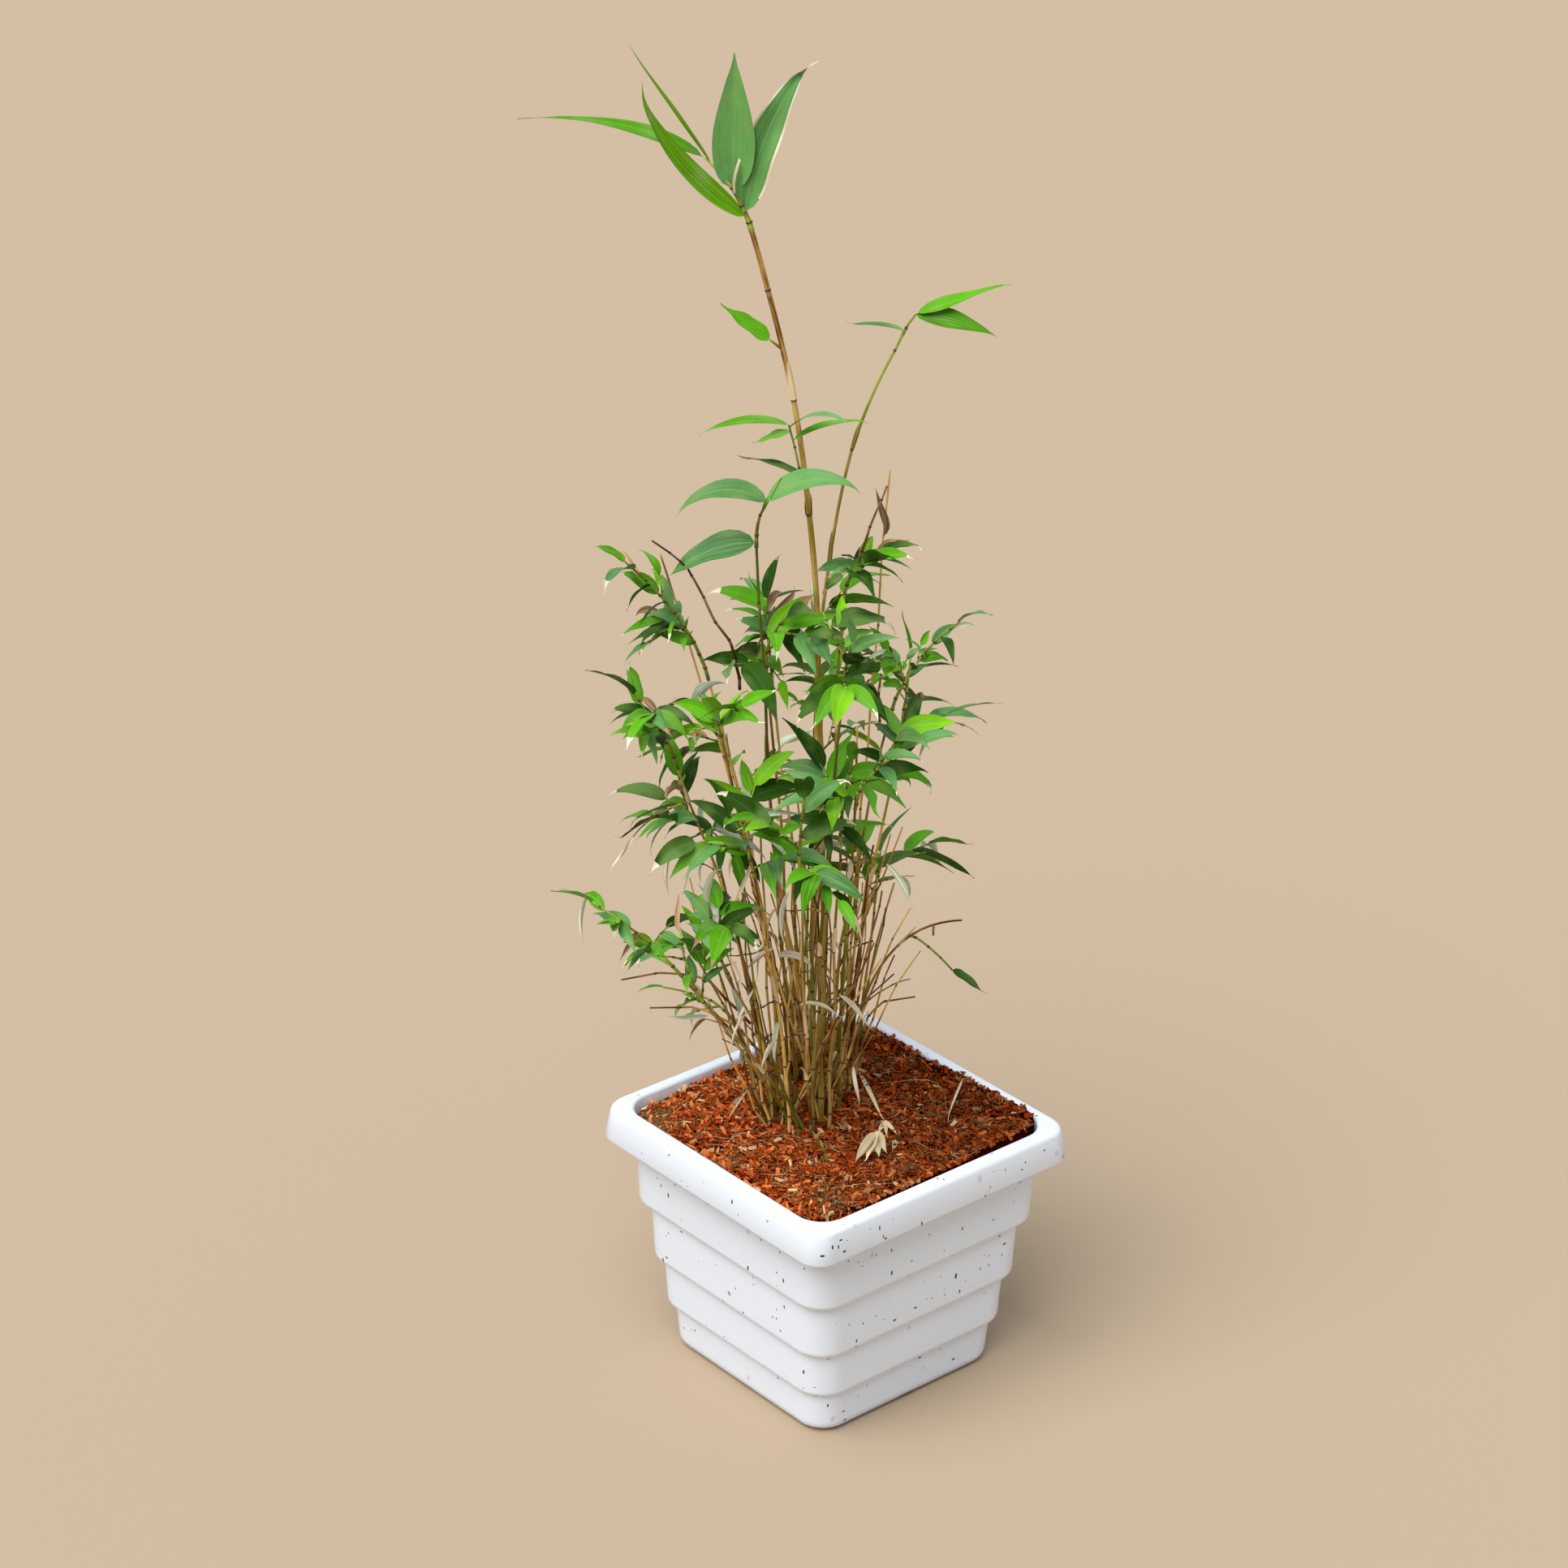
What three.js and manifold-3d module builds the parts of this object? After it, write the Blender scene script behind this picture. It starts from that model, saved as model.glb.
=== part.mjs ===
// Potted dwarf bamboo: a square stepped planter of white plastic, filled with coir,
// and one clump of thin canes that fan out and end in loose sprays of leaves.
// Millimetres, +Z up, origin in the middle of the pot's flat underside.
// The plant is worked out in its own frame, across and deep, turned against the pot.
import * as THREE from 'three';
import { mergeVertices } from 'three/addons/utils/BufferGeometryUtils.js';
import Module from 'manifold-3d';

const wasm = await Module();
wasm.setup();

// ---------------------------------------------------------------- pot and coir sizes
const POT_HEIGHT = 165;
const FOOT_HALF = 64;
const FOOT_CORNER = 13;
const FOOT_ROUNDING = 8;
const STEP_ROUNDING = 5;
const TIER_FLARE = 1.3;
const TIERS = [
  { half: 72.5, corner: 16.5, top: 29 },
  { half: 78.3, corner: 19, top: 61.2 },
  { half: 83.8, corner: 19, top: 99.6 },
  { half: 90, corner: 18, top: 143.8 },
];
const WALL = 2.6;
const FLOOR_THICKNESS = 5;
const RIM_INSIDE = 90.4;
const RIM_CORNER = 18;
const LIP_FOOT_HALF = 102;
const LIP_HEAD_HALF = 99.7;
const LIP_CORNER = 14;
const LIP_DROP = 21.2;
const CORNER_STEPS = 3;
const NOTCH = { width: 15, slope: 3, height: 3, depth: 14 };

const GAP = 0.3;
const SOIL_LEVEL = 158;
const SOIL_RIM_LEVEL = 162;
const SOIL_TILT = 0.04;
const SOIL_LUMP = 2.2;
const LEVEL_PATCH = { across: -9, deep: 24, halfAcross: 48, halfDeep: 62 };

// ---------------------------------------------------------------- plant sizes
const CLUMP_TURN = THREE.MathUtils.degToRad(49.6);
const CROWN_MIDDLE = [-18, 20];
const CLEARANCE = 0.35;
const BLADE_ROOM = 0.55;
const LOWEST_LEAF = 176;
const CANE_STEPS = 6;
const TALL_CANE = 600;

// Canes: foot and tip (across, deep, height), radius at both ends, and bow:
// with 1 a cane leans evenly all the way, with more it rises upright and leans late.
const CANES = [
  { name: 'tall', foot: [-9, 3], tip: [-53, 12, 713], bow: 4, radius: [2.3, 1.7] },
  { name: 'right_tall', foot: [-14, 36], tip: [32, 48, 641], bow: 6, radius: [1.7, 0.9] },
  { name: 'left_tall', foot: [-26, 13], tip: [-49, -12, 537], bow: 1, radius: [1.8, 1.2] },
  { name: 'top_right', foot: [-8, 23], tip: [1, 15, 498], bow: 2, radius: [1.7, 1.1] },
  { name: 'high_left', foot: [-33, 32], tip: [-76, -10, 455], bow: 1.6, radius: [1.7, 1.1] },
  { name: 'high_right', foot: [-4, 8], tip: [27, -20, 436], bow: 1.8, radius: [1.7, 1.1] },
  { name: 'shoulder_left', foot: [-36, 23], tip: [-93, -25, 406], bow: 1.3, radius: [1.7, 1.1] },
  { name: 'front_high', foot: [-31, 7], tip: [-67, -45, 431], bow: 1.5, radius: [1.6, 1] },
  { name: 'shoulder_right', foot: [-2, 17], tip: [8, -45, 391], bow: 1.4, radius: [1.8, 1.2] },
  { name: 'middle_left', foot: [-41, 39], tip: [-73, 15, 338], bow: 1.3, radius: [1.6, 1.1] },
  { name: 'low_right', foot: [15, 65], tip: [23, 75, 270], bow: 1.2, radius: [1.5, 1.1] },
  { name: 'low_left', foot: [-19, -6], tip: [-92, -24, 272], bow: 1.1, radius: [1.7, 1.2] },
  { name: 'front_left', foot: [-28, -2], tip: [-76, -55, 268], bow: 1.2, radius: [1.5, 1] },
  { name: 'top_left', foot: [-24, 22], tip: [-43, 0, 454], bow: 1.5, radius: [1.7, 1.1] },
  { name: 'top_front', foot: [-14, -6], tip: [-1, -40, 447], bow: 1.4, radius: [1.9, 1.2] },
  { name: 'top_back', foot: [-14, 30], tip: [-15, 20, 460], bow: 1.5, radius: [1.7, 1.1] },
  { name: 'front_mid_left', foot: [-26, -8], tip: [-49, -45, 347], bow: 1.4, radius: [1.7, 1.1] },
  { name: 'front_mid', foot: [-15, -14], tip: [-23, -70, 360], bow: 1.3, radius: [1.7, 1.1] },
  { name: 'middle', foot: [-4, -4], tip: [0, -20, 356], bow: 1.4, radius: [1.7, 1.1] },
  { name: 'creeping_left', foot: [-32, 14], tip: [-60, -5, 229], bow: 0.9, radius: [1.4, 1] },
  { name: 'front_low', foot: [-22, -16], tip: [-62, -66, 292], bow: 1.3, radius: [1.6, 1] },
  { name: 'back_left', foot: [-30, 48], tip: [-58, 88, 330], bow: 1.4, radius: [1.7, 1.1] },
  { name: 'back', foot: [-12, 50], tip: [-12, 98, 350], bow: 1.4, radius: [1.7, 1.1] },
  { name: 'back_right', foot: [6, 50], tip: [36, 88, 372], bow: 1.4, radius: [1.7, 1.1] },
  { name: 'back_high', foot: [-18, 44], tip: [-40, 60, 425], bow: 1.5, radius: [1.7, 1.1] },
  { name: 'hooked_right', foot: [13, 57], elbow: [12, 60, 262], tip: [75, 55, 268], radius: [1.5, 0.9] },
];

// Bare canes stand in tufts: those of one tuft come out of the same stub.
const TUFT_STUB = { radius: 4.2, height: 7, spread: 2.6 };
const BARE_CANE = { bow: 1.25, steps: 5, radius: [1.2, 0.75] };
const TUFTS = [
  { name: 'left', foot: [-33, 6], tips: [
    [-60, -18, 300], [-72, 8, 330], [-84, -30, 290], [-58, -40, 330], [-50, 20, 345],
  ] },
  { name: 'front', foot: [-10, 12], tips: [
    [-30, -50, 300], [-12, -45, 330], [8, -30, 300], [-40, -20, 360], [-20, -20, 400], [-4, 10, 380],
  ] },
  { name: 'back', foot: [-22, 56], tips: [
    [-108, 45, 515], [-60, 55, 330], [-40, 80, 300], [-20, 85, 290], [-5, 70, 340], [-14, 62, 420],
  ] },
  { name: 'right', foot: [4, 44], tips: [
    [26, 40, 562], [26, 30, 300], [18, 70, 310], [20, 10, 340], [10, 45, 400], [34, 60, 290],
  ] },
];

// A spray grows on from the tip of the cane it is named after, out to its end. Its stem
// and each twig carry the given number of blades of about the given length.
const SPRAYS = [
  { name: 'high_left', end: [-122, -18, 529], twigs: 1, blades: 11, length: 28, seed: 8 },
  { name: 'high_right', end: [64, -36, 502], twigs: 1, blades: 9, length: 22, seed: 27 },
  { name: 'top_right', end: [21, 22, 520], twigs: 1, blades: 7, length: 30, seed: 29 },
  { name: 'shoulder_left', end: [-117, -34, 455], twigs: 2, blades: 6, length: 31, seed: 8 },
  { name: 'front_high', end: [-72, -50, 449], twigs: 2, blades: 4, length: 30, seed: 35 },
  { name: 'shoulder_right', end: [42, -62, 440], twigs: 2, blades: 6, length: 31, seed: 9 },
  { name: 'middle_left', end: [-100, 15, 366], twigs: 3, blades: 5, length: 33, seed: 7 },
  { name: 'low_right', end: [26, 80, 300], twigs: 2, blades: 5, length: 34, seed: 34 },
  { name: 'low_left', end: [-142, -34, 324], twigs: 1, blades: 6, length: 27, seed: 30 },
  { name: 'front_left', end: [-91, -62, 320], twigs: 2, blades: 5, length: 28, seed: 17 },
  { name: 'top_left', end: [-32, -14, 494], twigs: 3, blades: 5, length: 34, seed: 35 },
  { name: 'top_front', end: [4, -50, 495], twigs: 3, blades: 5, length: 37, seed: 15 },
  { name: 'top_back', end: [-18, 25, 491], twigs: 3, blades: 5, length: 32, seed: 2 },
  { name: 'front_mid_left', end: [-62, -55, 392], twigs: 3, blades: 5, length: 32, seed: 15 },
  { name: 'front_mid', end: [-21, -80, 413], twigs: 3, blades: 5, length: 34, seed: 37 },
  { name: 'middle', end: [6, -30, 413], twigs: 3, blades: 5, length: 32, seed: 16 },
  { name: 'creeping_left', end: [-102, -5, 253], twigs: 1, blades: 2, length: 20, seed: 3 },
  { name: 'front_low', end: [-74, -82, 349], twigs: 3, blades: 4, length: 31, seed: 27 },
  { name: 'back_left', end: [-75, 105, 376], twigs: 2, blades: 4, length: 34, seed: 10 },
  { name: 'back', end: [-4, 118, 398], twigs: 2, blades: 4, length: 34, seed: 38 },
  { name: 'back_right', end: [42, 102, 420], twigs: 2, blades: 4, length: 34, seed: 6 },
  { name: 'back_high', end: [-44, 66, 461], twigs: 2, blades: 4, length: 33, seed: 22 },
];

// Sprays with a few large blades, each one set: share of the stem, heading, rise, bend
// and roll in degrees, length, width. With a height, the stem leaves the cane's side.
const SET_SPRAYS = [
  { name: 'tall_fan', cane: 'tall', end: [-78, 15, 752], reach: 125, blades: [
    [0.15, 200, 32, -40, -42, 104, 15],
    [0.2, 12, 82, 30, 58, 96, 20],
    [0.5, 86, 86, -4, 0, 80, 24],
    [0.9, 194, 55, -3, 0, 84, 8],
    [1, 173, 26, 33, -12, 106, 13],
  ] },
  { name: 'right_tall', cane: 'right_tall', end: [39, 50, 652], reach: 70, blades: [
    [1, 5, 17, -4, 20, 56, 11],
    [0.96, 350, -3, 16, 24, 48, 15],
    [0.1, 180, 18, 26, 0, 34, 6],
  ] },
  { name: 'left_tall', cane: 'left_tall', end: [-43, -13, 564], reach: 80, blades: [
    [0.98, 180, 38, 95, -25, 58, 15],
    [1, 350, 50, 78, 28, 60, 17],
    [0.7, 20, 64, 8, 0, 26, 6],
    [0.06, 182, 1, 50, -35, 56, 18],
  ] },
  { name: 'tall_side', cane: 'tall', height: 646, heading: 200, end: [-42, 8, 651], reach: 50, blades: [
    [1, 180, 37, 2, -30, 35, 12],
  ] },
  { name: 'tall_mid', cane: 'tall', height: 566, heading: 270, end: [-31.5, 3, 603], reach: 72, blades: [
    [1, 182, 16, 44, -10, 52, 9],
    [0.94, 192, -10, 12, -20, 22, 7],
    [0.97, 4, 46, 54, 10, 53, 9],
    [0.85, 355, 34, 32, 10, 46, 8],
    [0.4, 178, 22, 36, -10, 42, 8],
  ] },
  { name: 'hook', cane: 'hooked_right', height: 256, heading: 300, end: [70, 55, 234], reach: 40, blades: [
    [1, 0, -30, 20, 20, 27, 8],
  ] },
];

const STEM_STEPS = 3;
const STEM_TIP_RADIUS = 0.8;
const SIDE_STEM_RADIUS = 0.9;
const SIDE_STEM_RISE = 17;
const TWIG_RADIUS = [0.95, 0.75];
const TWIG_SHARE = 0.9;
const REACH_SHARE = 1.8;
const BLADE_THICKNESS = 0.9;
const ROOT_HALF = 0.3;
const ROOT_DEPTH = 0.15;
const BLADE_STATIONS = [0, 0.12, 0.3, 0.5, 0.7, 0.86, 1];
const BLADE_WIDTHS = [0.12, 0.5, 0.92, 1, 0.82, 0.5, 0];
const FACE_OUT = 48;
const GOLDEN_TURN = 2.4;

const COLOURS = {
  pot: { color: 0xf1f1f3, roughness: 0.35, metalness: 0 },
  coir: { color: 0x8d4b2c, roughness: 0.95, metalness: 0 },
  cane: { color: 0x7d6a35, roughness: 0.6, metalness: 0 },
  dryCane: { color: 0xa08a5c, roughness: 0.7, metalness: 0 },
  leaf: { color: 0x3f8c38, roughness: 0.5, metalness: 0 },
};

// ---------------------------------------------------------------- helpers
const vec = (x, y, z) => new THREE.Vector3(x, y, z);
const { lerp: mix, clamp, degToRad, radToDeg } = THREE.MathUtils;
const along = (start, direction, distance) => start.clone().addScaledVector(direction, distance);

// A repeatable stream of numbers from 0 to 1.
function seededDraws(seed) {
  let state = (seed * 2654435761) % 4294967296;
  return () => {
    state = (state * 69069 + 12345) % 4294967296;
    return state / 4294967296;
  };
}

function indexedGeometry(flatPoints, flatFaces) {
  const geometry = new THREE.BufferGeometry();
  geometry.setAttribute('position', new THREE.Float32BufferAttribute(flatPoints, 3));
  geometry.setIndex(flatFaces);
  return mergeVertices(geometry, 1e-4);
}

function geometryOf(points, faces) {
  return indexedGeometry(points.flatMap((point) => point.toArray()), faces.flat());
}

// Skin over a stack of equal loops, with a fan of triangles closing each end.
function skinLoops(loops) {
  const count = loops[0].length;
  const faces = [];
  for (let level = 0; level < loops.length - 1; level += 1) {
    for (let i = 0; i < count; i += 1) {
      const a = level * count + i;
      const b = level * count + ((i + 1) % count);
      faces.push([a, b, b + count], [a, b + count, a + count]);
    }
  }
  const last = (loops.length - 1) * count;
  for (let i = 1; i < count - 1; i += 1) {
    faces.push([0, i + 1, i], [last, last + i, last + i + 1]);
  }
  return geometryOf(loops.flat(), faces);
}

function toManifold(geometry) {
  return new wasm.Manifold(new wasm.Mesh({
    numProp: 3,
    vertProperties: Float32Array.from(geometry.attributes.position.array),
    triVerts: Uint32Array.from(geometry.index.array),
  }));
}

function fromManifold(solid) {
  const mesh = solid.getMesh();
  return indexedGeometry(Array.from(mesh.vertProperties), Array.from(mesh.triVerts));
}

// One body out of many: fused, with loose scraps dropped and sealed hollows filled.
function fuse(geometries) {
  const whole = geometries.map(toManifold).reduce((sum, next) => sum.add(next));
  const bodies = whole.decompose().sort((a, b) => b.volume() - a.volume());
  return fromManifold(bodies[0]);
}

const group = new THREE.Group();
group.name = 'potted_bamboo';

function addNode(name, geometry, finish) {
  const mesh = new THREE.Mesh(geometry, new THREE.MeshStandardMaterial(COLOURS[finish]));
  mesh.name = name;
  group.add(mesh);
}

function addPlantNode(name, geometry, finish) {
  addNode(name, geometry.rotateZ(CLUMP_TURN), finish);
}

// ---------------------------------------------------------------- pot
// A square loop with rounded corners, counter-clockwise from above.
function squareLoop([half, corner, height]) {
  const points = [];
  for (let side = 0; side < 4; side += 1) {
    const middle = (side + 0.5) * (Math.PI / 2);
    const reach = (half - corner) * Math.SQRT2;
    for (let step = 0; step <= CORNER_STEPS; step += 1) {
      const angle = (side + step / CORNER_STEPS) * (Math.PI / 2);
      const x = Math.cos(middle) * reach + Math.cos(angle) * corner;
      const y = Math.sin(middle) * reach + Math.sin(angle) * corner;
      points.push(vec(x, y, height));
    }
  }
  return points;
}

// Up the outside: each tier swells out of the one below over a rounded shelf.
function outsideSections() {
  const sections = [[FOOT_HALF, FOOT_CORNER, 0]];
  let below = { half: FOOT_HALF, top: 0 };
  for (const tier of TIERS) {
    const rise = below.top === 0 ? FOOT_ROUNDING : STEP_ROUNDING;
    for (const degrees of [35, 65, 90]) {
      const turn = degToRad(degrees);
      const half = mix(below.half, tier.half - TIER_FLARE, Math.sin(turn));
      sections.push([half, tier.corner, below.top + rise * (1 - Math.cos(turn))]);
    }
    sections.push([tier.half, tier.corner, tier.top]);
    below = tier;
  }
  return sections;
}

// The rim turns out over a hollow lip that hangs down outside the top tier.
function rimSections() {
  const lipFoot = POT_HEIGHT - LIP_DROP;
  const insideLip = POT_HEIGHT - 5;
  return [
    [RIM_INSIDE + 2.2, RIM_CORNER - 1, insideLip],
    [LIP_HEAD_HALF - WALL, LIP_CORNER, insideLip],
    [LIP_FOOT_HALF - WALL, LIP_CORNER - 2, lipFoot],
    [LIP_FOOT_HALF, LIP_CORNER, lipFoot],
    [LIP_HEAD_HALF, LIP_CORNER, POT_HEIGHT - 2.4],
    [LIP_HEAD_HALF - 0.7, LIP_CORNER, POT_HEIGHT - 0.7],
    [LIP_HEAD_HALF - 2.4, LIP_CORNER, POT_HEIGHT],
    [RIM_INSIDE + 1.1, RIM_CORNER, POT_HEIGHT],
    [RIM_INSIDE, RIM_CORNER, POT_HEIGHT - 1.2],
  ];
}

// Down the inside, a wall's thickness in from the tiers, or further for the filling.
function insideSections(shrink) {
  const sections = [[RIM_INSIDE - 0.4 - shrink, RIM_CORNER - shrink, POT_HEIGHT - 4.5]];
  for (let i = TIERS.length - 1; i >= 0; i -= 1) {
    const tier = TIERS[i];
    const shelf = i > 0 ? TIERS[i - 1].top + STEP_ROUNDING : FLOOR_THICKNESS + 4;
    const half = tier.half - WALL - shrink;
    const corner = tier.corner - 1.5 - shrink;
    sections.push([half, corner, tier.top - 0.8], [half - TIER_FLARE, corner, shelf]);
  }
  sections.push([FOOT_HALF + 1 - shrink, FOOT_CORNER - 1 - shrink, FLOOR_THICKNESS + shrink]);
  return sections;
}

// Drain notch across one bottom edge, with sloped ends.
function notchTool(side) {
  const { width, slope, height, depth } = NOTCH;
  const half = width / 2;
  const outline = [[-half, -1], [half, -1], [half - slope, height], [slope - half, height]];
  const reaches = [FOOT_HALF + FOOT_ROUNDING + 2, FOOT_HALF - depth];
  const loops = reaches.map((reach) => outline.map(([x, z]) => vec(x, reach, z)));
  return skinLoops(loops).rotateZ(side * (Math.PI / 2));
}

function buildPot() {
  const sections = [...outsideSections(), ...rimSections(), ...insideSections(0)];
  const body = toManifold(skinLoops(sections.map(squareLoop)));
  const notches = [0, 1, 2, 3].map((side) => toManifold(notchTool(side)));
  addNode('pot', fromManifold(notches.reduce((pot, notch) => pot.subtract(notch), body)), 'pot');
}

// ---------------------------------------------------------------- coir
// Where a rim point's ray meets the level patch that the canes stand on.
function patchPoint(rimPoint) {
  const angle = Math.atan2(rimPoint.y, rimPoint.x) - CLUMP_TURN;
  const across = LEVEL_PATCH.across + LEVEL_PATCH.halfAcross * Math.cos(angle);
  const deep = LEVEL_PATCH.deep + LEVEL_PATCH.halfDeep * Math.sin(angle);
  return vec(across, deep, SOIL_LEVEL).applyAxisAngle(vec(0, 0, 1), CLUMP_TURN);
}

// The coir is level round the canes and rises or falls towards the rim, with lumps.
function buildCoir() {
  const draw = seededDraws(3);
  const filled = insideSections(GAP).slice(1).reverse().map(squareLoop);
  const edge = squareLoop([RIM_INSIDE - 1.5, RIM_CORNER - 1, SOIL_LEVEL]);
  const rings = [0, 0.12, 0.4, 0.72, 1].map((share) => edge.map((point) => {
    const across = point.x * Math.cos(CLUMP_TURN) + point.y * Math.sin(CLUMP_TURN);
    const rimRise = SOIL_RIM_LEVEL + SOIL_TILT * across - SOIL_LEVEL;
    const lump = share > 0 && share < 1 ? (draw() - 0.5) * SOIL_LUMP : 0;
    const spot = point.clone().lerp(patchPoint(point), share);
    return spot.setZ(SOIL_LEVEL + rimRise * (1 - share) ** 1.4 + lump);
  }));
  addNode('coir_fill', skinLoops([...filled, ...rings]), 'coir');
}

// ---------------------------------------------------------------- keeping clear
// Every limb, twig and blade is also kept as rods, so that later ones stay clear of it.
const rods = [];

function segmentGap(a, b, c, d) {
  const first = b.clone().sub(a);
  const second = d.clone().sub(c);
  const apart = a.clone().sub(c);
  const firstSquare = first.dot(first);
  const secondSquare = second.dot(second);
  const cross = first.dot(second);
  const firstApart = first.dot(apart);
  const secondApart = second.dot(apart);
  const spread = firstSquare * secondSquare - cross * cross;
  let s = spread > 1e-9 ? clamp((cross * secondApart - firstApart * secondSquare) / spread, 0, 1) : 0;
  const t = clamp((cross * s + secondApart) / secondSquare, 0, 1);
  s = clamp((cross * t - firstApart) / firstSquare, 0, 1);
  return along(a, first, s).distanceTo(along(c, second, t));
}

function rodsOf(points, radii, owner, outerFrom = Infinity) {
  return points.slice(1).map((point, i) => ({
    from: points[i],
    to: point,
    radius: Math.max(radii[i], radii[i + 1]),
    owner,
    isOuter: i >= outerFrom,
  }));
}

// Within one spray only the outer parts of its blades keep apart.
function areApart(rod, other) {
  const isOwn = rod.owner === other.owner;
  if (isOwn && !(rod.isOuter && other.isOuter)) return true;
  const touching = rod.radius + other.radius;
  const room = isOwn ? touching * BLADE_ROOM : touching + CLEARANCE;
  return segmentGap(rod.from, rod.to, other.from, other.to) > room;
}

const isClear = (candidates) => candidates.every((rod) => rods.every((other) => areApart(rod, other)));

// ---------------------------------------------------------------- limbs
// Sweeps a few-sided section along a path. A limb from the ground has a level foot.
function sweep(points, radii, sides, levelFoot = false) {
  const chord = points.at(-1).clone().sub(points[0]).normalize();
  const reference = Math.abs(chord.y) < 0.7 ? vec(0, 1, 0) : vec(1, 0, 0);
  const loops = points.map((point, i) => {
    const before = points[Math.max(i - 1, 0)];
    const after = points[Math.min(i + 1, points.length - 1)];
    const forward = levelFoot && i === 0 ? vec(0, 0, 1) : after.clone().sub(before).normalize();
    const left = reference.clone().cross(forward).normalize();
    const up = forward.clone().cross(left);
    return Array.from({ length: sides }, (_, k) => {
      const angle = (k / sides) * Math.PI * 2;
      return along(along(point, left, Math.cos(angle) * radii[i]), up, Math.sin(angle) * radii[i]);
    });
  });
  return skinLoops(loops);
}

function taper([foot, tip], count) {
  return Array.from({ length: count }, (_, i) => mix(foot, tip, i / (count - 1)));
}

// A cane's middle line: most lean more and more, one bends over at its elbow.
function canePath({ foot, tip, bow, elbow }, steps) {
  const start = vec(foot[0], foot[1], SOIL_LEVEL + GAP);
  const end = vec(...tip);
  return Array.from({ length: steps + 1 }, (_, i) => {
    const share = i / steps;
    if (elbow) {
      const bend = vec(...elbow);
      return start.clone().lerp(bend, share).lerp(bend.clone().lerp(end, share), share);
    }
    return start.clone().lerp(end, share ** bow).setZ(mix(start.z, end.z, share));
  });
}

// The foot steps out in a widening spiral until the limb clears those before it.
function settle(limb, makePath) {
  for (let turn = 0; turn < 90; turn += 1) {
    const step = 1.1 * Math.sqrt(turn);
    const angle = turn * GOLDEN_TURN;
    const foot = [limb.foot[0] + step * Math.cos(angle), limb.foot[1] + step * Math.sin(angle)];
    const points = makePath({ ...limb, foot });
    const found = rodsOf(points, taper(limb.radius, points.length), limb.name);
    if (isClear(found)) {
      rods.push(...found);
      return points;
    }
  }
  throw new Error(`no room for ${limb.name}`);
}

const canePaths = {};

function buildCane(cane) {
  const isTall = cane.tip[2] > TALL_CANE;
  const points = settle(cane, (moved) => canePath(moved, isTall ? CANE_STEPS + 4 : CANE_STEPS));
  canePaths[cane.name] = points;
  const solid = sweep(points, taper(cane.radius, points.length), isTall ? 5 : 4, true);
  addPlantNode(`cane_${cane.name}`, solid, 'cane');
}

// A bare cane is turned about its tuft until it clears what is there.
function bareCane(tuft, stub, tip) {
  for (const turn of [0, 12, -12, 24, -24, 36, -36, 50, -50]) {
    const heading = Math.atan2(tip[1] - stub.y, tip[0] - stub.x) + degToRad(turn);
    const outward = vec(Math.cos(heading), Math.sin(heading), 0);
    const foot = along(stub, outward, TUFT_STUB.spread).toArray();
    const end = along(stub, outward, Math.hypot(tip[0] - stub.x, tip[1] - stub.y)).setZ(tip[2]).toArray();
    const points = canePath({ foot, tip: end, bow: BARE_CANE.bow }, BARE_CANE.steps);
    points[0].z += TUFT_STUB.height / 3;
    const radii = taper(BARE_CANE.radius, points.length);
    const found = rodsOf(points, radii, tuft.name);
    if (isClear(found)) {
      rods.push(...found);
      return [sweep(points, radii, 3)];
    }
  }
  return [];
}

function buildTuft(tuft) {
  const { radius, height } = TUFT_STUB;
  const [stub, head] = settle({ ...tuft, radius: [radius, radius] }, ({ foot }) => [
    vec(foot[0], foot[1], SOIL_LEVEL + GAP),
    vec(foot[0], foot[1], SOIL_LEVEL + GAP + height),
  ]);
  const stubSolid = sweep([stub, head], [radius, radius * 0.8], 7, true);
  const pieces = tuft.tips.flatMap((tip) => bareCane(tuft, stub, tip));
  addPlantNode(`tuft_${tuft.name}`, fuse([stubSolid, ...pieces]), 'dryCane');
}

// ---------------------------------------------------------------- blades
// The direction with a heading and a rise, both in degrees.
function aim(heading, rise) {
  const turn = degToRad(heading);
  const tilt = degToRad(rise);
  return vec(Math.cos(tilt) * Math.cos(turn), Math.cos(tilt) * Math.sin(turn), Math.sin(tilt));
}

// A blade's middle line leaves at a heading and a rise, and bends evenly as it goes.
function bladeLine(root, blade) {
  const line = [root];
  for (let i = 1; i < BLADE_STATIONS.length; i += 1) {
    const middle = (BLADE_STATIONS[i] + BLADE_STATIONS[i - 1]) / 2;
    const step = (BLADE_STATIONS[i] - BLADE_STATIONS[i - 1]) * blade.length;
    line.push(along(line[i - 1], aim(blade.heading, blade.rise - blade.bend * middle), step));
  }
  return line;
}

// Two edges and a keel across the blade at one of its stations.
function bladeSection(line, blade, i) {
  const roll = degToRad(blade.roll);
  const level = aim(blade.heading + 90, 0);
  const upright = aim(blade.heading, blade.rise - blade.bend * BLADE_STATIONS[i] + 90);
  const side = along(level.clone().multiplyScalar(Math.cos(roll)), upright, Math.sin(roll));
  const up = along(upright.clone().multiplyScalar(Math.cos(roll)), level, -Math.sin(roll));
  const half = i === 0 ? ROOT_HALF : (blade.width / 2) * BLADE_WIDTHS[i];
  const top = along(line[i], up, BLADE_THICKNESS / 3);
  return [along(top, side, half), along(top, side, -half), along(top, up, -BLADE_THICKNESS)];
}

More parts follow.
